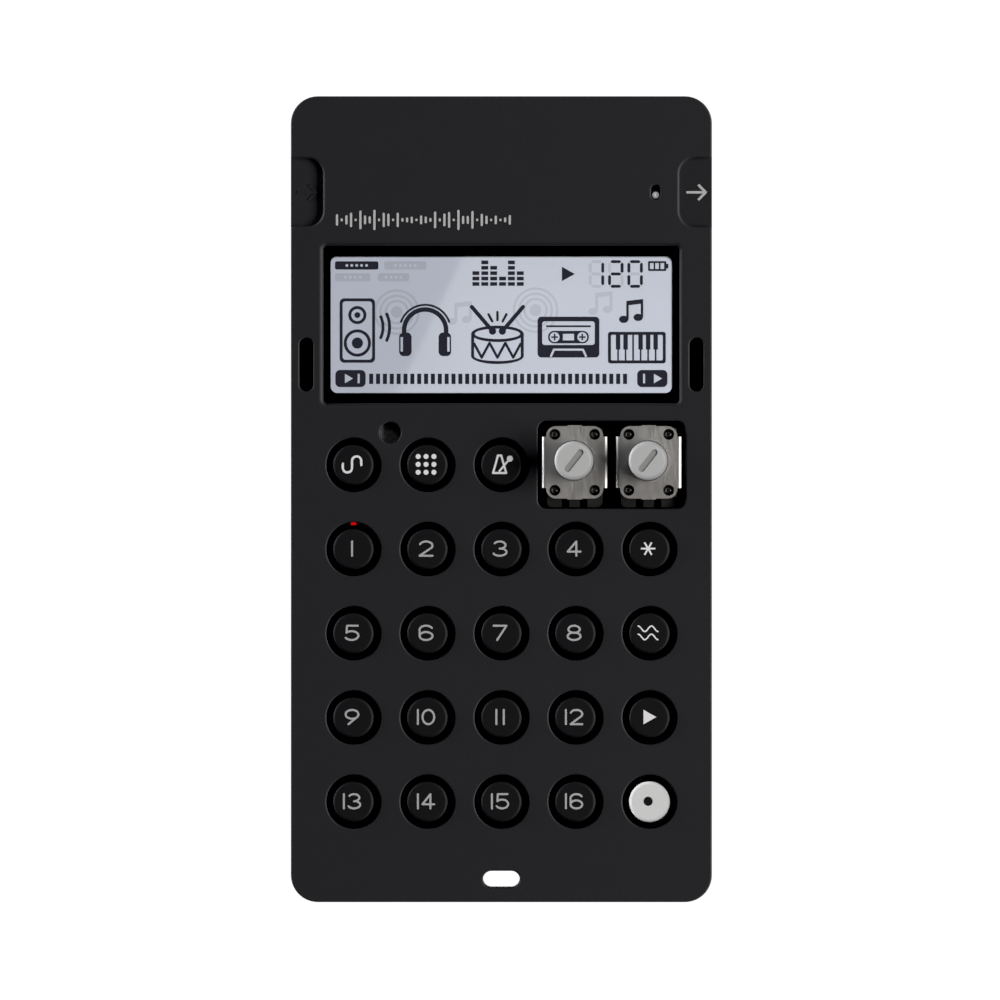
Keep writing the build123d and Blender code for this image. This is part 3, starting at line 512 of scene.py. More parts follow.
class Drawing:
    """Flat shapes laid down in order, each adding ink or clearing it, about a movable origin."""

    def __init__(self):
        self.shapes = []
        self.origin = (0.0, 0.0)

    def at(self, x, y):
        """Move the origin of the shapes that follow."""
        self.origin = (x, y)
        return self

    def fill(self, outline, ink=True):
        """One closed outline, turned anticlockwise and kept with its box."""
        x, y = self.origin
        area = sum(a[0] * b[1] - b[0] * a[1] for a, b in zip(outline, outline[1:] + outline[:1]))
        turned = outline if area > 0 else outline[::-1]
        placed = [Vector((x + corner[0], y + corner[1])) for corner in turned]
        across = [corner.x for corner in placed]
        along = [corner.y for corner in placed]
        self.shapes.append((placed, ink, (min(across), min(along), max(across), max(along))))

    def line(self, points, width, closed=False, ink=True, round_ends=False):
        """A line of that width through points."""
        for outline in ribbon(points, width, closed):
            self.fill(outline, ink)
        if round_ends:
            for end in (points[0], points[-1]):
                self.fill(disc(end, width / 2, 16), ink)

    def has_ink(self, spot):
        """Whether the last shape to cover a spot adds ink."""
        for outline, ink, (left, bottom, right, top) in reversed(self.shapes):
            if left < spot.x < right and bottom < spot.y < top and covers(outline, spot):
                return ink
        return False

    def solid(self, thickness):
        """Corners and faces of the inked area as one closed sheet of that thickness, in metres."""
        corners = [corner for outline, *_ in self.shapes for corner in outline]
        numbers = iter(range(len(corners)))
        outlines = [[next(numbers) for _ in outline] for outline, *_ in self.shapes]
        spots, _, triangles, *_ = geometry.delaunay_2d_cdt(corners, [], outlines, 0, SAME_SPOT)
        inked = []
        for face in triangles:
            a, b, c = (spots[corner] for corner in face)
            if self.has_ink((a + b + c) / 3):
                inked.append(face if (b - a).cross(c - a) > 0 else face[::-1])
        used = sorted({corner for face in inked for corner in face})
        index = {corner: i for i, corner in enumerate(used)}
        count = len(used)
        top = [[index[corner] for corner in face] for face in inked]
        edges = {(face[i - 1], face[i]) for face in top for i in range(3)}
        rim = [(a, b) for a, b in edges if (b, a) not in edges]
        flat = [(spots[corner].x * MM, spots[corner].y * MM) for corner in used]
        points = [(x, y, z) for z in (thickness, 0.0) for x, y in flat]
        faces = top + [[corner + count for corner in reversed(face)] for face in top]
        faces += [[a + count, b + count, b, a] for a, b in sorted(rim)]
        return points, faces

    def piece(self, name, place, thickness, material, body):
        """The drawing as a piece that rides on a body, with its origin at place."""
        piece = mesh_object(name, *self.solid(thickness), material)
        piece.location = place
        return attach(piece, body)


# Case


# Depth of the jack recesses, and where the marks stand from the edges beside them
RECESS_DEPTH = 0.8 * MM
ARROW_INSET = 2.4 * MM
WAVE_INSET = 3.15 * MM
WAVE_RISE = 2.7 * MM
# Height of the wave's shortest bar, as a share of the tallest
SHORTEST_BAR = 0.12


def draw_arrow(drawing, length, head, stroke):
    """A right-pointing arrow about the origin."""
    tip = length / 2
    drawing.line([(-tip, 0), (tip - stroke * 0.6, 0)], stroke)
    drawing.line([(tip - head / 2, head / 2), (tip, 0), (tip - head / 2, -head / 2)], stroke)


def draw_wave(drawing, looks):
    """A sound wave as a row of upright bars, swelling twice along its length."""
    length = looks.wave_length / MM
    bar = looks.wave_bar / MM
    pitch = (length - bar) / (looks.wave_bars - 1)
    for i in range(looks.wave_bars):
        share = i / (looks.wave_bars - 1)
        swell = 0.3 + 0.7 * abs(math.sin(2 * math.pi * share + 0.35))
        ripple = 0.55 + 0.45 * math.cos(2.4 * i)
        half = looks.wave_height / MM / 2 * max(SHORTEST_BAR, swell * ripple)
        x = i * pitch - length / 2
        drawing.fill(slab(x, -half, x + bar, half, bar * 0.45))


class SAMPLER_OT_dress_case(Operator):
    """Give the case its grained rubber, a raised and a printed arrow beside the jacks, and a printed wave"""

    bl_idname = "sampler.dress_case"
    bl_label = "Dress Case"

    def execute(self, context):
        looks = context.scene.sampler_case
        grain = (looks.grain / MM, looks.relief / MM)
        rubber = moulded("case_rubber_grained", looks.rubber, grain, roughness=(0.64, 0.67), specular=0.42)
        dress({"case_rubber": rubber})
        ink = printed("case_ink", looks.ink)
        low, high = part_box("jack_collars")
        jack_y = (low.y + high.y) / 2
        recess_floor = FACE - RECESS_DEPTH
        arrow_x = CAD_BOX[1].x - ARROW_INSET
        arrow = Drawing()
        draw_arrow(arrow, looks.arrow_length / MM, looks.arrow_head / MM, looks.arrow_stroke / MM)
        arrow.piece("output_arrow", (arrow_x, jack_y, recess_floor), looks.ink_thickness, ink, "case")
        piece = arrow.piece("input_arrow", (-arrow_x, jack_y, recess_floor), looks.emboss, rubber, "case")
        wave = Drawing()
        draw_wave(wave, looks)
        low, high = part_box("display_frame")
        place = (low.x + WAVE_INSET + looks.wave_length / 2, high.y + WAVE_RISE, FACE)
        wave.piece("wave_mark", place, looks.ink_thickness, ink, "case")
        return {"FINISHED"}


# Keys


# Half the distance between the bars of eleven, in gaps of a pair
TWIN_REACH = 1.4


def ring(y, wide, high):
    """Closed centre line of an ellipse at that height."""
    return arc((0, y), (wide, high), 0, 345, 23), True


def digit_lines(digit, width, height):
    """Centre lines of one digit about the origin, as (points, closed) pairs."""
    w = width / 2
    h = height / 2
    strokes = {
        0: [ring(0, w, h)],
        1: [([(0, h), (0, -h)], False)],
        2: [(arc((0, 0.42 * h), (w, 0.58 * h), 160, -28, 14) + [(-w, -h), (w, -h)], False)],
        3: [(arc((-0.05 * w, 0.5 * h), (0.9 * w, 0.5 * h), 150, -90, 14)
             + arc((-0.05 * w, -0.48 * h), (1.05 * w, 0.52 * h), 90, -155, 14)[1:], False)],
        4: [([(0.35 * w, -h), (0.35 * w, h), (-w, -0.42 * h), (w, -0.42 * h)], False)],
        5: [([(0.88 * w, h), (-0.78 * w, h), (-0.86 * w, 0.02 * h)]
             + arc((-0.06 * w, -0.38 * h), (1.06 * w, 0.62 * h), 118, -150, 16), False)],
        6: [ring(-0.44 * h, w, 0.56 * h),
            (arc((0, 0.44 * h), (w, 0.56 * h), 25, 180, 12) + [(-w, -0.44 * h)], False)],
        7: [([(-w, h), (w, h), (-0.45 * w, -h)], False)],
        8: [ring(0.5 * h, 0.88 * w, 0.5 * h), ring(-0.48 * h, w, 0.52 * h)],
        9: [ring(0.38 * h, w, 0.62 * h), ([(0.9 * w, 0.1 * h), (-0.55 * w, -h)], False)],
    }
    return strokes[digit]


def draw_number(drawing, number, looks):
    """One or two digits about the origin; a leading one is a bare bar."""
    stroke = looks.stroke / MM
    height = looks.digit_height / MM - stroke
    gap = looks.pair_gap / MM
    if number < 10:
        places = [(number, 0.0, looks.digit_width / MM - stroke)]
    elif number == 11:
        places = [(1, -TWIN_REACH * gap, 0.0), (1, TWIN_REACH * gap, 0.0)]
    else:
        narrow = looks.narrow_width / MM
        places = [(1, -(narrow + gap) / 2, 0.0), (number - 10, (stroke + gap) / 2, narrow - stroke)]
    for digit, x, width in places:
        drawing.at(x, 0)
        for points, closed in digit_lines(digit, width, height):
            drawing.line(points, stroke, closed, round_ends=not closed)


def draw_sound(drawing, stroke):
    """A single wave, one dip and one crest."""
    bend = 0.70
    half = 0.52
    dip = arc((-bend, -half), bend, 180, 360)
    crest = arc((bend, half), bend, 180, 0)
    drawing.line([(-2 * bend, 0.1), *dip, *crest, (2 * bend, -0.1)], 0.8 * stroke, round_ends=True)


def draw_pattern(drawing, stroke):
    """A square of nine dots."""
    for row in (-1, 0, 1):
        for column in (-1, 0, 1):
            drawing.fill(disc((1.2 * column, 1.2 * row), 0.9 * stroke, 20))


def draw_tempo(drawing, stroke):
    """A metronome with its pendulum swung to the right."""
    drawing.line([(-1.07, -1.3), (-0.32, 1.35), (0.18, 1.35), (0.93, -1.3)], 0.75 * stroke, closed=True)
    drawing.line([(-0.17, -1.1), (1.43, 0.8)], 0.7 * stroke)
    drawing.fill(disc((1.49, 0.86), 1.1 * stroke, 20))


def draw_write(drawing, stroke):
    """A six-armed star."""
    for turn in (0, 60, 120):
        x, y = arc((0, 0), 1.1, turn, turn, 1)[0]
        drawing.line([(-x, -y), (x, y)], 0.64 * stroke)


def draw_effect(drawing, stroke):
    """Two shallow waves, one above the other."""
    for y in (-0.62, 0.62):
        shares = [step / 8 for step in range(-12, 13)]
        crests = [(x, y + 0.42 * math.sin(math.pi * x)) for x in shares]
        drawing.line(crests, 0.5 * stroke, round_ends=True)


def draw_play(drawing, _stroke):
    """A right-pointing triangle."""
    drawing.fill([(-0.7, -1.1), (1.25, 0.0), (-0.7, 1.1)])


PICTURES = {
    "key_sound": draw_sound,
    "key_pattern": draw_pattern,
    "key_tempo": draw_tempo,
    "key_write": draw_write,
    "key_effect": draw_effect,
    "key_play": draw_play,
}


class SAMPLER_OT_dress_keys(Operator):
    """Give the keys their satin rubber and print a number or a pictogram on each"""

    bl_idname = "sampler.dress_keys"
    bl_label = "Dress Keys"

    def execute(self, context):
        looks = context.scene.sampler_keys
        thickness = context.scene.sampler_case.ink_thickness
        cap = (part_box("key_record")[1].z, looks.cap_depth, looks.cap_fade)
        # Below their caps both keys take the near-black base colour as painted shade.
        black = cap_over_painted_shade("key_rubber_satin_over_painted_shade", looks.base, looks.rubber, *cap, specular=0.18)
        white = cap_over_painted_shade("record_key_satin_over_painted_shade", looks.base, looks.record, *cap, specular=0.18)
        dress({"key_rubber": black, "record_key_rubber": white})
        ink = printed("key_ink", looks.number)
        bright_ink = printed("key_picture_ink", looks.picture)
        dark_ink = printed("key_dot_ink", looks.record_dot, specular=0.3)
        for key in KEYS:
            low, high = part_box(key)
            x = (low.x + high.x) / 2 + looks.shift
            # The flange is notched at its top, so the key's middle is half its width above its low edge
            y = low.y + (high.x - low.x) / 2 + looks.rise
            drawing = Drawing()
            legend = ink
            if key == "key_record":
                drawing.fill(disc((0, 0), looks.record_dot_size / MM / 2))
                legend = dark_ink
            elif key in PICTURES:
                PICTURES[key](drawing, looks.icon_stroke / MM)
                legend = bright_ink
            else:
                draw_number(drawing, int(key.removeprefix("key_")), looks)
            drawing.piece(f"legend_{key}", (x, y, high.z), thickness, legend, key)
        return {"FINISHED"}


# Controls


# Depth of the slots across the shafts
SLOT_DEPTH = 0.6 * MM


class SAMPLER_OT_dress_controls(Operator):
    """Give the shafts, plates and inner pieces of the two controls their finishes"""

    bl_idname = "sampler.dress_controls"
    bl_label = "Dress Controls"

    def execute(self, context):
        looks = context.scene.sampler_controls
        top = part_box("left_knob")[1].z
        dress({
            # The slot floors and sides take the darker colour as painted shade.
            "shaft_plastic": cap_over_painted_shade(
                "shaft_moulding_over_painted_shade", looks.shaft_slot_painted_shade, looks.shaft, top, SLOT_DEPTH, SLOT_DEPTH,
                roughness=(0.46, 0.4), specular=0.6,
            ),
            "bracket_metal": brushed("tinned_plate", looks.plate, looks.plate_roughness),
            "base_plastic": moulded("control_base", grey(0.022), roughness=(0.4, 0.6), specular=0.3),
            "rivet_plastic": moulded("control_rivets", grey(0.006), roughness=(0.22, 0.3), specular=0.9),
            "element_wafer": moulded("resistor_wafer", (0.22, 0.13, 0.07), grain=(0.3, 0.01)),
            "wiper_metal": brushed("wiper_spring", (0.75, 0.60, 0.36), 0.25),
        })
        return {"FINISHED"}


# Display


# Bars of a seven-segment digit, from the top one clockwise and then the middle one
SEGMENTS = {
    0: "abcdef", 1: "bc", 2: "abdeg", 3: "abcdg", 4: "bcfg", 5: "acdfg", 6: "acdefg", 7: "abc", 8: "abcdefg",
    9: "abcdfg",
}
# Ends of those bars, in halves of the digit's width and height
BARS = {
    "a": (-1, 1, 1, 1), "b": (1, 1, 1, 0), "c": (1, 0, 1, -1), "d": (-1, -1, 1, -1), "e": (-1, 0, -1, -1),
    "f": (-1, 1, -1, 0), "g": (-1, 0, 1, 0),
}
# Width of a bar and distance between digits, in digit widths, and a bar's gap at its ends, in bar widths
BAR_WIDTH = 0.19
DIGIT_PITCH = 1.25
BAR_GAP = 0.28
# Places about the cell's middle, in millimetres; a tag has half its width as its third number
NUMBER_PLACE = (17.4, 7.7)
BAR_Y = -8.25
TICK_REACH = 19.3
TICK_SHIFT = 0.5
MARKER_PLACE = 22.95
TAGS = ((-22.0, 9.0, 3.3), (-14.6, 9.0, 3.2), (-22.6, 7.2, 2.7), (-16.4, 7.2, 2.4))
# Room that each dot takes of half a tag's width, and the dots' distance and radius
DOT_ROOM = 0.55
DOT_PITCH = 0.75
DOT_RADIUS = 0.22
# Blocks in each column of the level meter
LEVELS = (3, 5, 4, 2, 5, 3)


def segment_outline(segment, width, height, stroke):
    """One bar of a seven-segment digit about its middle, with pointed ends."""
    half = stroke / 2
    right = width / 2 - half
    rise = height / 2 - half
    x0, y0, x1, y1 = BARS[segment]
    start = Vector((x0 * right, y0 * rise))
    end = Vector((x1 * right, y1 * rise))
    run = (end - start).normalized()
    side = run.orthogonal() * half
    inset = run * BAR_GAP * stroke
    start += inset
    end -= inset
    near = start + run * half
    far = end - run * half
    return [tuple(p) for p in (start, near + side, far + side, end, far - side, near - side)]


def draw_figures(lit, ghost, looks):
    """A three-digit number, with its unlit bars as ghosts."""
    width = looks.digit_width / MM
    height = looks.digit_height / MM
    stroke = BAR_WIDTH * width
    for place, digit in enumerate(looks.number):
        x = NUMBER_PLACE[0] + (place - 1) * width * DIGIT_PITCH
        for segment in BARS:
            drawing = lit if segment in SEGMENTS[digit] else ghost
            drawing.at(x, NUMBER_PLACE[1]).fill(segment_outline(segment, width, height, stroke))


def draw_length_bar(lit, looks):
    """A row of ticks between two end markers with cleared arrow heads."""
    pitch = 2 * TICK_REACH / (looks.ticks - 1)
    for tick in range(looks.ticks):
        x = tick * pitch - TICK_REACH - TICK_SHIFT
        lit.at(x, BAR_Y).fill(slab(-0.31, -0.78, 0.31, 0.78))
    for side in (-1, 1):
        back = -0.3 + 0.55 * side
        stop = -1.25 * side
        lit.at(side * MARKER_PLACE, BAR_Y + 0.05).fill(slab(-2.3, -1.3, 2.3, 1.3, 0.7))
        lit.fill([(back, 0.72), (back, -0.72), (0.95 + 0.55 * side, 0.0)], ink=False)
        lit.fill(slab(stop - 0.16, -0.72, stop + 0.16, 0.72), ink=False)


def draw_loudspeaker(drawing, line):
    """A two-way cabinet with sound coming off it."""
    drawing.fill(slab(-2.7, -4.9, 2.7, 4.9, 0.7))
    drawing.fill(slab(line - 2.7, line - 4.9, 2.7 - line, 4.9 - line, 0.45), ink=False)
    for y, surround, cap in ((-1.9, 1.85, 0.85), (2.35, 1.15, 0.45)):
        drawing.line(disc((0, y), surround), line, closed=True)
        drawing.fill(disc((0, y), cap))
    for reach in (3.9, 4.9):
        drawing.line(arc((0, 0.5), reach, -24, 24, 10), line, round_ends=True)


def draw_headphones(drawing, line):
    """Headphones with solid ear cups."""
    drawing.line(arc((0, 0.4), 3.2, -8, 188, 28), 1.5 * line)
    drawing.line(arc((0, 0.4), 3.9, 20, 160, 22), 0.7 * line, round_ends=True)
    for side in (-1, 1):
        drawing.fill(slab(side * 3.0 - 0.95, -3.5, side * 3.0 + 0.95, 0.1, 0.7))
        drawing.fill(slab(side * 3.55 - 0.18, -2.8, side * 3.55 + 0.18, -0.6), ink=False)


def draw_drum(drawing, line):
    """A snare drum with laced sides and two sticks over it."""
    drawing.fill(disc((0, -3.2), (4.0, 1.2)))
    drawing.fill(slab(-4.0, -3.2, 4.0, 0.2))
    drawing.fill(disc((0, -3.2), (4.0 - line, 1.2 - line)), ink=False)
    drawing.fill(slab(line - 4.0, -3.2, 4.0 - line, 0.2), ink=False)
    drawing.line([(-3.6 + 1.2 * i, -3.4 if i % 2 else -1.2) for i in range(7)], 0.85 * line)
    drawing.fill(disc((0, 0.2), (4.0, 1.25)))
    drawing.fill(disc((0, 0.2), (4.0 - 1.2 * line, 1.25 - line)), ink=False)
    for side in (-1, 1):
        drawing.line([(side * 0.7, 0.55), (side * 3.9, 4.3)], 1.3 * line, round_ends=True)
        drawing.fill(disc((side * 0.75, 0.6), 0.55, 18))
    for turn in (62, 90, 118):
        inner, outer = (arc((0, 0.6), reach, turn, turn, 1)[0] for reach in (1.7, 2.9))
        drawing.line([inner, outer], 0.8 * line, round_ends=True)


def draw_cassette(drawing, line):
    """A tape cassette with a cleared label and two reels."""
    drawing.fill(slab(-4.7, -3.1, 4.7, 3.1, 0.6))
    drawing.fill(slab(-4.0, -1.2, 4.0, 2.4, 0.4), ink=False)
    drawing.fill(slab(-3.1, -0.95, 3.1, 0.95, 0.9))
    for x in (-2.1, 2.1):
        drawing.fill(disc((x, 0), 0.75), ink=False)
        drawing.line([(x - 0.5, 0), (x + 0.5, 0)], 0.5 * line)
        drawing.line([(x, -0.5), (x, 0.5)], 0.5 * line)
    drawing.fill(slab(-0.85, -0.5, 0.85, 0.5), ink=False)
    drawing.line([(-3.4, 1.65), (3.4, 1.65)], 0.6 * line)
    drawing.line([(-2.7, -3.0), (-2.2, -1.9), (2.2, -1.9), (2.7, -3.0)], 0.7 * line, ink=False)


def draw_keyboard(drawing, line):
    """A short piano keyboard, with no black key in its third gap."""
    drawing.fill(slab(-4.4, -2.6, 4.4, 2.2, 0.4))
    drawing.fill(slab(line - 4.4, line - 2.6, 4.4 - line, 2.2 - line, 0.2), ink=False)
    pitch = 8.0 / 7
    for key in range(1, 7):
        x = -4.0 + key * pitch
        drawing.line([(x, -2.4), (x, 2.0)], 0.55 * line)
        if key != 3:
            drawing.fill(slab(x - 0.34, -0.5, x + 0.34, 2.0))


def draw_note(drawing, line):
    """A pair of joined quavers."""
    drawing.fill(disc((-1.0, -1.1), (0.72, 0.55), 20))
    drawing.fill(disc((1.2, -0.8), (0.72, 0.55), 20))
    drawing.line([(-0.42, -1.1), (-0.42, 1.5)], 0.8 * line)
    drawing.line([(1.78, -0.8), (1.78, 1.8)], 0.8 * line)
    drawing.fill([(-0.58, 1.0), (1.94, 1.3), (1.94, 2.0), (-0.58, 1.7)])


def draw_levels(drawing):
    """Level columns built from stacked blocks."""
    for column, blocks in enumerate(LEVELS):
        x = 1.35 * column
        for block in range(blocks):
            y = 0.82 * block
            drawing.fill(slab(x, y, x + 1.05, y + 0.56))


def draw_record(drawing, line):
    """A record with grooves."""
    for radius in (3.3, 2.5, 1.7):
        drawing.line(disc((0, 0), radius), 0.7 * line, closed=True)
    drawing.fill(disc((0, 0), 0.9))


def draw_battery(drawing):
    """A small battery with three bars left."""
    drawing.fill(slab(-1.5, -0.75, 1.3, 0.75, 0.2))
    drawing.fill(slab(1.3, -0.35, 1.6, 0.35))
    for bar in range(3):
        drawing.fill(slab(-1.2 + 0.8 * bar, -0.45, -0.65 + 0.8 * bar, 0.45), ink=False)


def draw_tags(lit, ghost):
    """Two rows of mode tags, of which the first is lit."""
    for place, (x, y, reach) in enumerate(TAGS):
        drawing = ghost if place else lit
        drawing.at(x, y).fill(slab(-reach, -0.62, reach, 0.62, 0.3))
        dots = int(reach / DOT_ROOM)
        for dot in range(dots):
            drawing.fill(disc((DOT_PITCH * (dot - (dots - 1) / 2), 0), DOT_RADIUS, 12), ink=False)


class SAMPLER_OT_dress_display(Operator):
    """Give the display its black frame, its pale glossy cell, and a generic set of segments"""

    bl_idname = "sampler.dress_display"
    bl_label = "Dress Display"

    def execute(self, context):
        looks = context.scene.sampler_display
        dress({
            "frame_plastic": moulded(
                "frame_black", grey(0.0005), grain=(0.15, 0.002), roughness=(0.4, 0.5), specular=0.03
            ),
            "display_cell": crystal_cell("cell_front", looks.cell),
            "reflector_film": moulded(
                "reflector_film", looks.cell, grain=(0.1, 0.002), roughness=(0.3, 0.4)
            ),
            "connector_rubber": moulded(
                "connector_strip", grey(0.05), grain=(0.1, 0.01), roughness=(0.6, 0.8), spread=0.5
            ),
        })
        line = looks.line / MM
        lit = Drawing()
        ghost = Drawing()
        draw_figures(lit, ghost, looks)
        draw_length_bar(lit, looks)
        draw_tags(lit, ghost)
        draw_loudspeaker(lit.at(-21.9, -0.9), line)
        draw_headphones(lit.at(-11.6, -1.3), line)
        draw_drum(lit.at(-0.6, -1.6), line)
        draw_cassette(lit.at(10.2, -1.9), line)
        draw_keyboard(lit.at(20.6, -3.3), line)
        draw_note(lit.at(19.6, 1.9), line)
        draw_levels(lit.at(-4.4, 5.9))
        draw_play(lit.at(9.9, 7.7), line)
        draw_battery(lit.at(23.8, 8.9))
        draw_record(ghost.at(-15.9, 1.9), line)
        draw_note(ghost.at(-6.5, 1.6), 1.2 * line)
        draw_record(ghost.at(5.2, 2.2), line)
        draw_note(ghost.at(14.9, 3.1), 1.2 * line)
        low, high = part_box("display_glass")
        place = ((low.x + high.x) / 2, (low.y + high.y) / 2, high.z)
        dark = printed("segment_dark", looks.segment, specular=0.1)
        faint = printed("segment_ghost", looks.ghost, **GLOSSY_FILM)
        ghost.piece("display_ghosts", place, looks.segment_thickness / 2, faint, "case")
        lit.piece("display_segments", place, looks.segment_thickness, dark, "case")
        return {"FINISHED"}


# Lamps


# Size of the lit lamp's dome
LAMP_LENGTH = 0.85 * MM
LAMP_WIDTH = 0.45 * MM
LAMP_RISE = 0.3 * MM
# Corners around the dome, and rings of them up to its top
DOME_AROUND = 24
DOME_RINGS = 6


def dome(name, place, material, body):
    """A soft-cornered dome on an oblong foot."""
    points = []
    for level in range(DOME_RINGS):
        climb = math.pi / 2 * level / DOME_RINGS
        for step in range(DOME_AROUND):
            turn = 2 * math.pi * step / DOME_AROUND
            square = (abs(math.cos(turn)) ** 4 + abs(math.sin(turn)) ** 4) ** -0.25
            x = LAMP_LENGTH / 2 * math.cos(climb) * square * math.cos(turn)
            y = LAMP_WIDTH / 2 * math.cos(climb) * square * math.sin(turn)
            points.append((x, y, LAMP_RISE * math.sin(climb)))
    points.append((0.0, 0.0, LAMP_RISE))
    steps = [(step, (step + 1) % DOME_AROUND) for step in range(DOME_AROUND)]
    last = (DOME_RINGS - 1) * DOME_AROUND
    faces = [list(range(DOME_AROUND))[::-1]]
    for low in range(0, last, DOME_AROUND):
        high = low + DOME_AROUND
        faces += [[low + step, low + after, high + after, high + step] for step, after in steps]
    faces += [[last + step, last + after, len(points) - 1] for step, after in steps]
    piece = mesh_object(name, points, faces, material)
    piece.data.shade_smooth()
    piece.location = place
    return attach(piece, body)


class SAMPLER_OT_dress_lamps(Operator):
    """Give the lamps and the status lens their resins, and light the lamp over one step key"""

    bl_idname = "sampler.dress_lamps"
    bl_label = "Dress Lamps"

    def execute(self, context):
        looks = context.scene.sampler_lamps
        dress({
            "light_resin": moulded(
                "lamp_off", (0.012, 0.003, 0.003), grain=(0.2, 0.002), roughness=(0.3, 0.4)
            ),
            "lens_plastic": glowing("status_lens_white", looks.lens, looks.lens_glow),
        })
        low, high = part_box(f"key_{looks.lit_key}")
        # The highest lamps belong to the row of the first key
        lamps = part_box("step_lights")[1]
        rise = lamps.y - LAMP_WIDTH / 2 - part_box("key_1")[0].y
        foot = ((low.x + high.x) / 2, low.y + rise, lamps.z)
        resin = glowing("lamp_on", looks.lit, looks.glow)
        lamp = dome("lit_lamp", foot, resin, "case")
        return {"FINISHED"}


# Inside


class SAMPLER_OT_dress_inside(Operator):
    """Give the board, jacks, microphone, speaker and battery bay their finishes"""

    bl_idname = "sampler.dress_inside"
    bl_label = "Dress Inside"

    def execute(self, context):
        low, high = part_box("speaker_cone")
        cone_middle = (low + high) / 2
        dress({
            # A dark solder mask, darkened further to near-black as painted shade for the board under the
            # control cut-out.
            "board_laminate": laminate("board_mask_painted_shade", (0.0016, 0.0018, 0.0018)),
            "switch_plastic": moulded("switch_body", grey(0.012)),
            "chip_plastic": moulded(
                "chip_resin", (0.014, 0.014, 0.015), grain=(0.1, 0.004), roughness=(0.6, 0.75)
            ),
            "crystal_metal": brushed("crystal_can", (0.62, 0.62, 0.6), 0.3),
            "capacitor_metal": brushed("capacitor_can", grey(0.66), 0.3, draw=(1, 1, 14)),
            "microphone_metal": moulded(
                "microphone_felt", grey(0.30), grain=(0.18, 0.05), roughness=(0.8, 1.0), spread=0.5
            ),
            "boot_rubber": moulded("boot_rubber", grey(0.01), roughness=(0.6, 0.75)),
            "jack_plastic": moulded("jack_body", grey(0.013)),
            "collar_metal": brushed("collar_plate", grey(0.72), 0.18, draw=(18, 1, 1)),
            # Painted shade: the jack contact seen through the lens hole is coloured near-black.
            "contact_metal": brushed("contact_leaf_painted_shade", (0.06, 0.055, 0.05), 0.5, draw=(18, 1, 1)),
            "speaker_metal": moulded("speaker_paint", grey(0.03), grain=(0.3, 0.01), roughness=(0.4, 0.5)),
            "cone_paper": pressed_paper("cone_paper", (0.03, 0.029, 0.028), cone_middle),
            "magnet_metal": brushed("magnet_plate", (0.45, 0.45, 0.44), 0.4, draw=(1, 1, 1)),
            "cell_jacket": jacketed("cell_jacket", (0.02, 0.02, 0.022), (0.32, 0.33, 0.34), "upper_battery"),
            "holder_plastic": moulded("holder_plastic", grey(0.012)),
            "spring_metal": brushed("nickel_spring", (0.62, 0.61, 0.58), 0.25),
        })
        return {"FINISHED"}


# Stage


FLOOR_Z = -0.2 * MM
# Where each softbox stands, its width and its height, in metres
RIGHT_BOX = ((1.037, 0.0, 0.54), 0.95, 0.4)
LEFT_BOX = ((-1.08, 0.32, 0.1), 0.8, 0.16)
END_BOX = ((0.1, 0.75, 1.05), 0.3, 0.3)
DISPLAY_BOX = ((0.25, 0.35, 1.1), 0.4, 0.4)
CONTROL_BOX = ((0.434, 0.116, 1.125), 0.5, 0.5)
# The card's height and width, and the line across the display that mirrors its near edge
CARD_HEIGHT = 1.2
CARD_REACH = 0.3
CARD_EDGE = ((-2.0 * MM, 44.8 * MM), (-19.75 * MM, 8.0 * MM))
# Share of the way up to the zenith over which the light at floor level fades
HORIZON_BAND = 0.2
# How far the camera sees, in metres
SIGHT = 100.0


def flat_stage(name, corners, radiance):
    """One flat, glowing sheet of the stage through four corners."""
    material = bpy.data.materials.new(f"{name}_white")
    nodes = Nodes(material)
    glow = nodes.add("ShaderNodeEmission", Strength=radiance)
    output = nodes.add("ShaderNodeOutputMaterial")
    nodes.join(glow.outputs["Emission"], output.inputs["Surface"])
    sheet = mesh_object(name, corners, [(0, 1, 2, 3)], material)
    return sheet


def softbox(name, place, width, height, radiance, tint):
    """An area light of that radiance, turned to the middle of the face and unseen by the camera."""
    lamp = bpy.data.lights.new(name, "AREA")
    lamp.shape = "RECTANGLE"
    lamp.size = width
    lamp.size_y = height
    lamp.energy = radiance * math.pi * width * height
    lamp.color = tint
    box = bpy.data.objects.new(name, lamp)
    box.location = place
    box.rotation_mode = "QUATERNION"
    box.rotation_quaternion = (Vector((0.0, 0.0, FACE)) - Vector(place)).to_track_quat("-Z", "Y")
    box.visible_camera = False
    bpy.context.scene.collection.objects.link(box)
    return box


def light_only(lamp, name, pieces, state):
    """Let a light reach only these pieces, or all but these."""
    group = bpy.data.collections.new(name)
    for piece in pieces:
        group.objects.link(piece)
    lamp.light_linking.receiver_collection = group
    for member in group.collection_objects:
        member.light_linking.link_state = state


def studio_air(looks):
    """A world that is white at floor level and dims towards the zenith."""
    world = bpy.data.worlds.new("studio")
    bpy.context.scene.world = world
    nodes = Nodes(world)
    where = nodes.add("ShaderNodeTexCoord")
    split = nodes.add("ShaderNodeSeparateXYZ")
    air = nodes.add("ShaderNodeBackground")
    output = nodes.add("ShaderNodeOutputWorld")
    nodes.join(where.outputs["Generated"], split.inputs["Vector"])
    fade = nodes.ramp(split.outputs["Z"], grey(looks.horizon), grey(looks.zenith), 0.0, HORIZON_BAND)
    nodes.join(fade, air.inputs["Color"])
    nodes.join(air.outputs["Background"], output.inputs["Surface"])


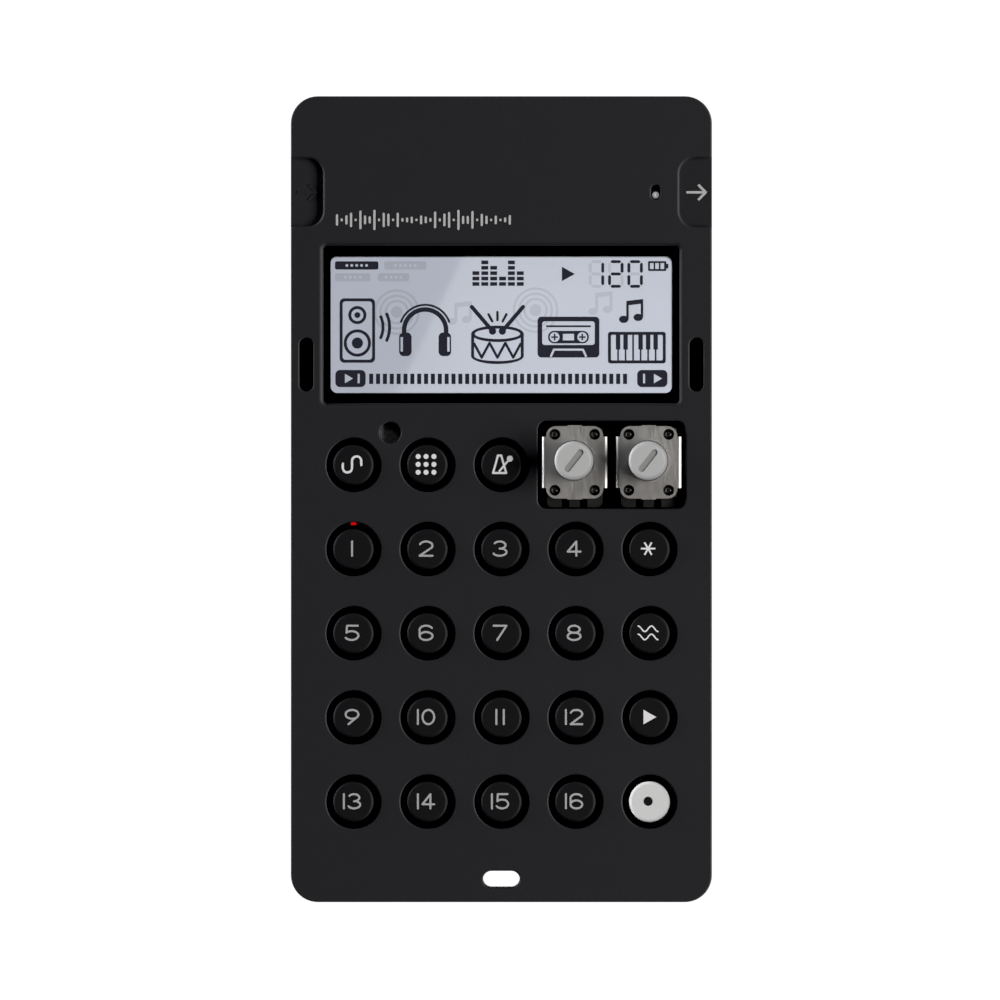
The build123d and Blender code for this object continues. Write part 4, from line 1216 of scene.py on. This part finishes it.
def set_lights(looks):
    """The softboxes. The display, and the pale shafts and record key, have one of their own."""
    right = softbox("right_softbox", *RIGHT_BOX, looks.key_light, looks.key_tint)
    softbox("left_softbox", *LEFT_BOX, looks.side_light, looks.side_tint)
    softbox("end_softbox", *END_BOX, looks.end_light, grey(1.0))
    over = softbox("display_softbox", *DISPLAY_BOX, looks.display_light, grey(1.0))
    above = softbox("control_softbox", *CONTROL_BOX, looks.control_light, looks.control_tint)
    shown = [bpy.data.objects[name] for name in ("display_glass", "display_segments", "display_ghosts")]
    pale = [frame["nodes"][name] for name in ("left_knob", "right_knob", "key_record")]
    light_only(over, "display_only", shown, "INCLUDE")
    light_only(above, "pale_only", pale, "INCLUDE")
    light_only(right, "all_but_display_and_pale", shown + pale, "EXCLUDE")


def mirrored(x, y, height, looks):
    """Where the camera's ray that meets the display at x, y arrives at a height, once mirrored."""
    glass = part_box("display_glass")[1].z
    spread = (height - glass) / (looks.distance + FACE - glass)
    return (x + (x - looks.aim[0]) * spread, y + (y - looks.aim[1]) * spread, height)


def hang_card(looks):
    """A pale card over the face that only glossy surfaces show."""
    edge = [mirrored(x, y, CARD_HEIGHT, looks) for x, y in CARD_EDGE]
    far = [(x + CARD_REACH, y, z) for x, y, z in edge]
    card = flat_stage("card", [*edge, *reversed(far)], looks.card_light)
    card.visible_camera = False
    card.visible_diffuse = False
    card.visible_shadow = False


def aim_camera(looks):
    """A camera straight above the face."""
    lens = bpy.data.cameras.new("camera")
    lens.lens = lens.sensor_width * looks.distance / looks.field
    lens.clip_end = SIGHT
    camera = bpy.data.objects.new("camera", lens)
    camera.location = (looks.aim[0], looks.aim[1], FACE + looks.distance)
    bpy.context.scene.collection.objects.link(camera)
    bpy.context.scene.camera = camera


class SAMPLER_OT_set_stage(Operator):
    """Make the white floor, the softboxes, the mirrored card and the camera straight above the face"""

    bl_idname = "sampler.set_stage"
    bl_label = "Set Stage"

    def execute(self, context):
        looks = context.scene.sampler_stage
        view = context.scene.view_settings
        view.view_transform = "Standard"
        view.use_curve_mapping = True
        view.curve_mapping.black_level = grey(looks.black_level)
        studio_air(looks)
        half = looks.floor / 2
        corners = [(x * half, y * half, FLOOR_Z) for x, y in slab(-1, -1, 1, 1)]
        flat_stage("floor", corners, looks.floor_glow)
        set_lights(looks)
        hang_card(looks)
        aim_camera(looks)
        return {"FINISHED"}


class SAMPLER_PT_looks(Panel):
    """The operators, in the order in which they are run"""

    bl_idname = "SAMPLER_PT_looks"
    bl_label = "Pocket Sampler"
    bl_space_type = "VIEW_3D"
    bl_region_type = "UI"
    bl_category = "Sampler"

    def draw(self, context):
        for operator in OPERATORS:
            self.layout.operator(operator.bl_idname)


GROUPS = {
    "sampler_case": CaseLooks,
    "sampler_keys": KeyLooks,
    "sampler_controls": ControlLooks,
    "sampler_display": DisplayLooks,
    "sampler_lamps": LampLooks,
    "sampler_stage": StageLooks,
}
OPERATORS = (
    SAMPLER_OT_dress_case,
    SAMPLER_OT_dress_keys,
    SAMPLER_OT_dress_controls,
    SAMPLER_OT_dress_display,
    SAMPLER_OT_dress_lamps,
    SAMPLER_OT_dress_inside,
    SAMPLER_OT_set_stage,
)
CLASSES = (*GROUPS.values(), *OPERATORS, SAMPLER_PT_looks)


def register():
    """Register the settings, the operators and the panel."""
    for kind in CLASSES:
        bpy.utils.register_class(kind)
    for name, group in GROUPS.items():
        setattr(bpy.types.Scene, name, PointerProperty(type=group))


def unregister():
    """Take out what register put in."""
    for name in GROUPS:
        delattr(bpy.types.Scene, name)
    for kind in reversed(CLASSES):
        bpy.utils.unregister_class(kind)


def main():
    """Dress the part."""
    register()
    bpy.ops.sampler.dress_case()
    bpy.ops.sampler.dress_keys()
    bpy.ops.sampler.dress_controls()
    bpy.ops.sampler.dress_display()
    bpy.ops.sampler.dress_lamps()
    bpy.ops.sampler.dress_inside()
    bpy.ops.sampler.set_stage()


if __name__ == "__main__":
    main()
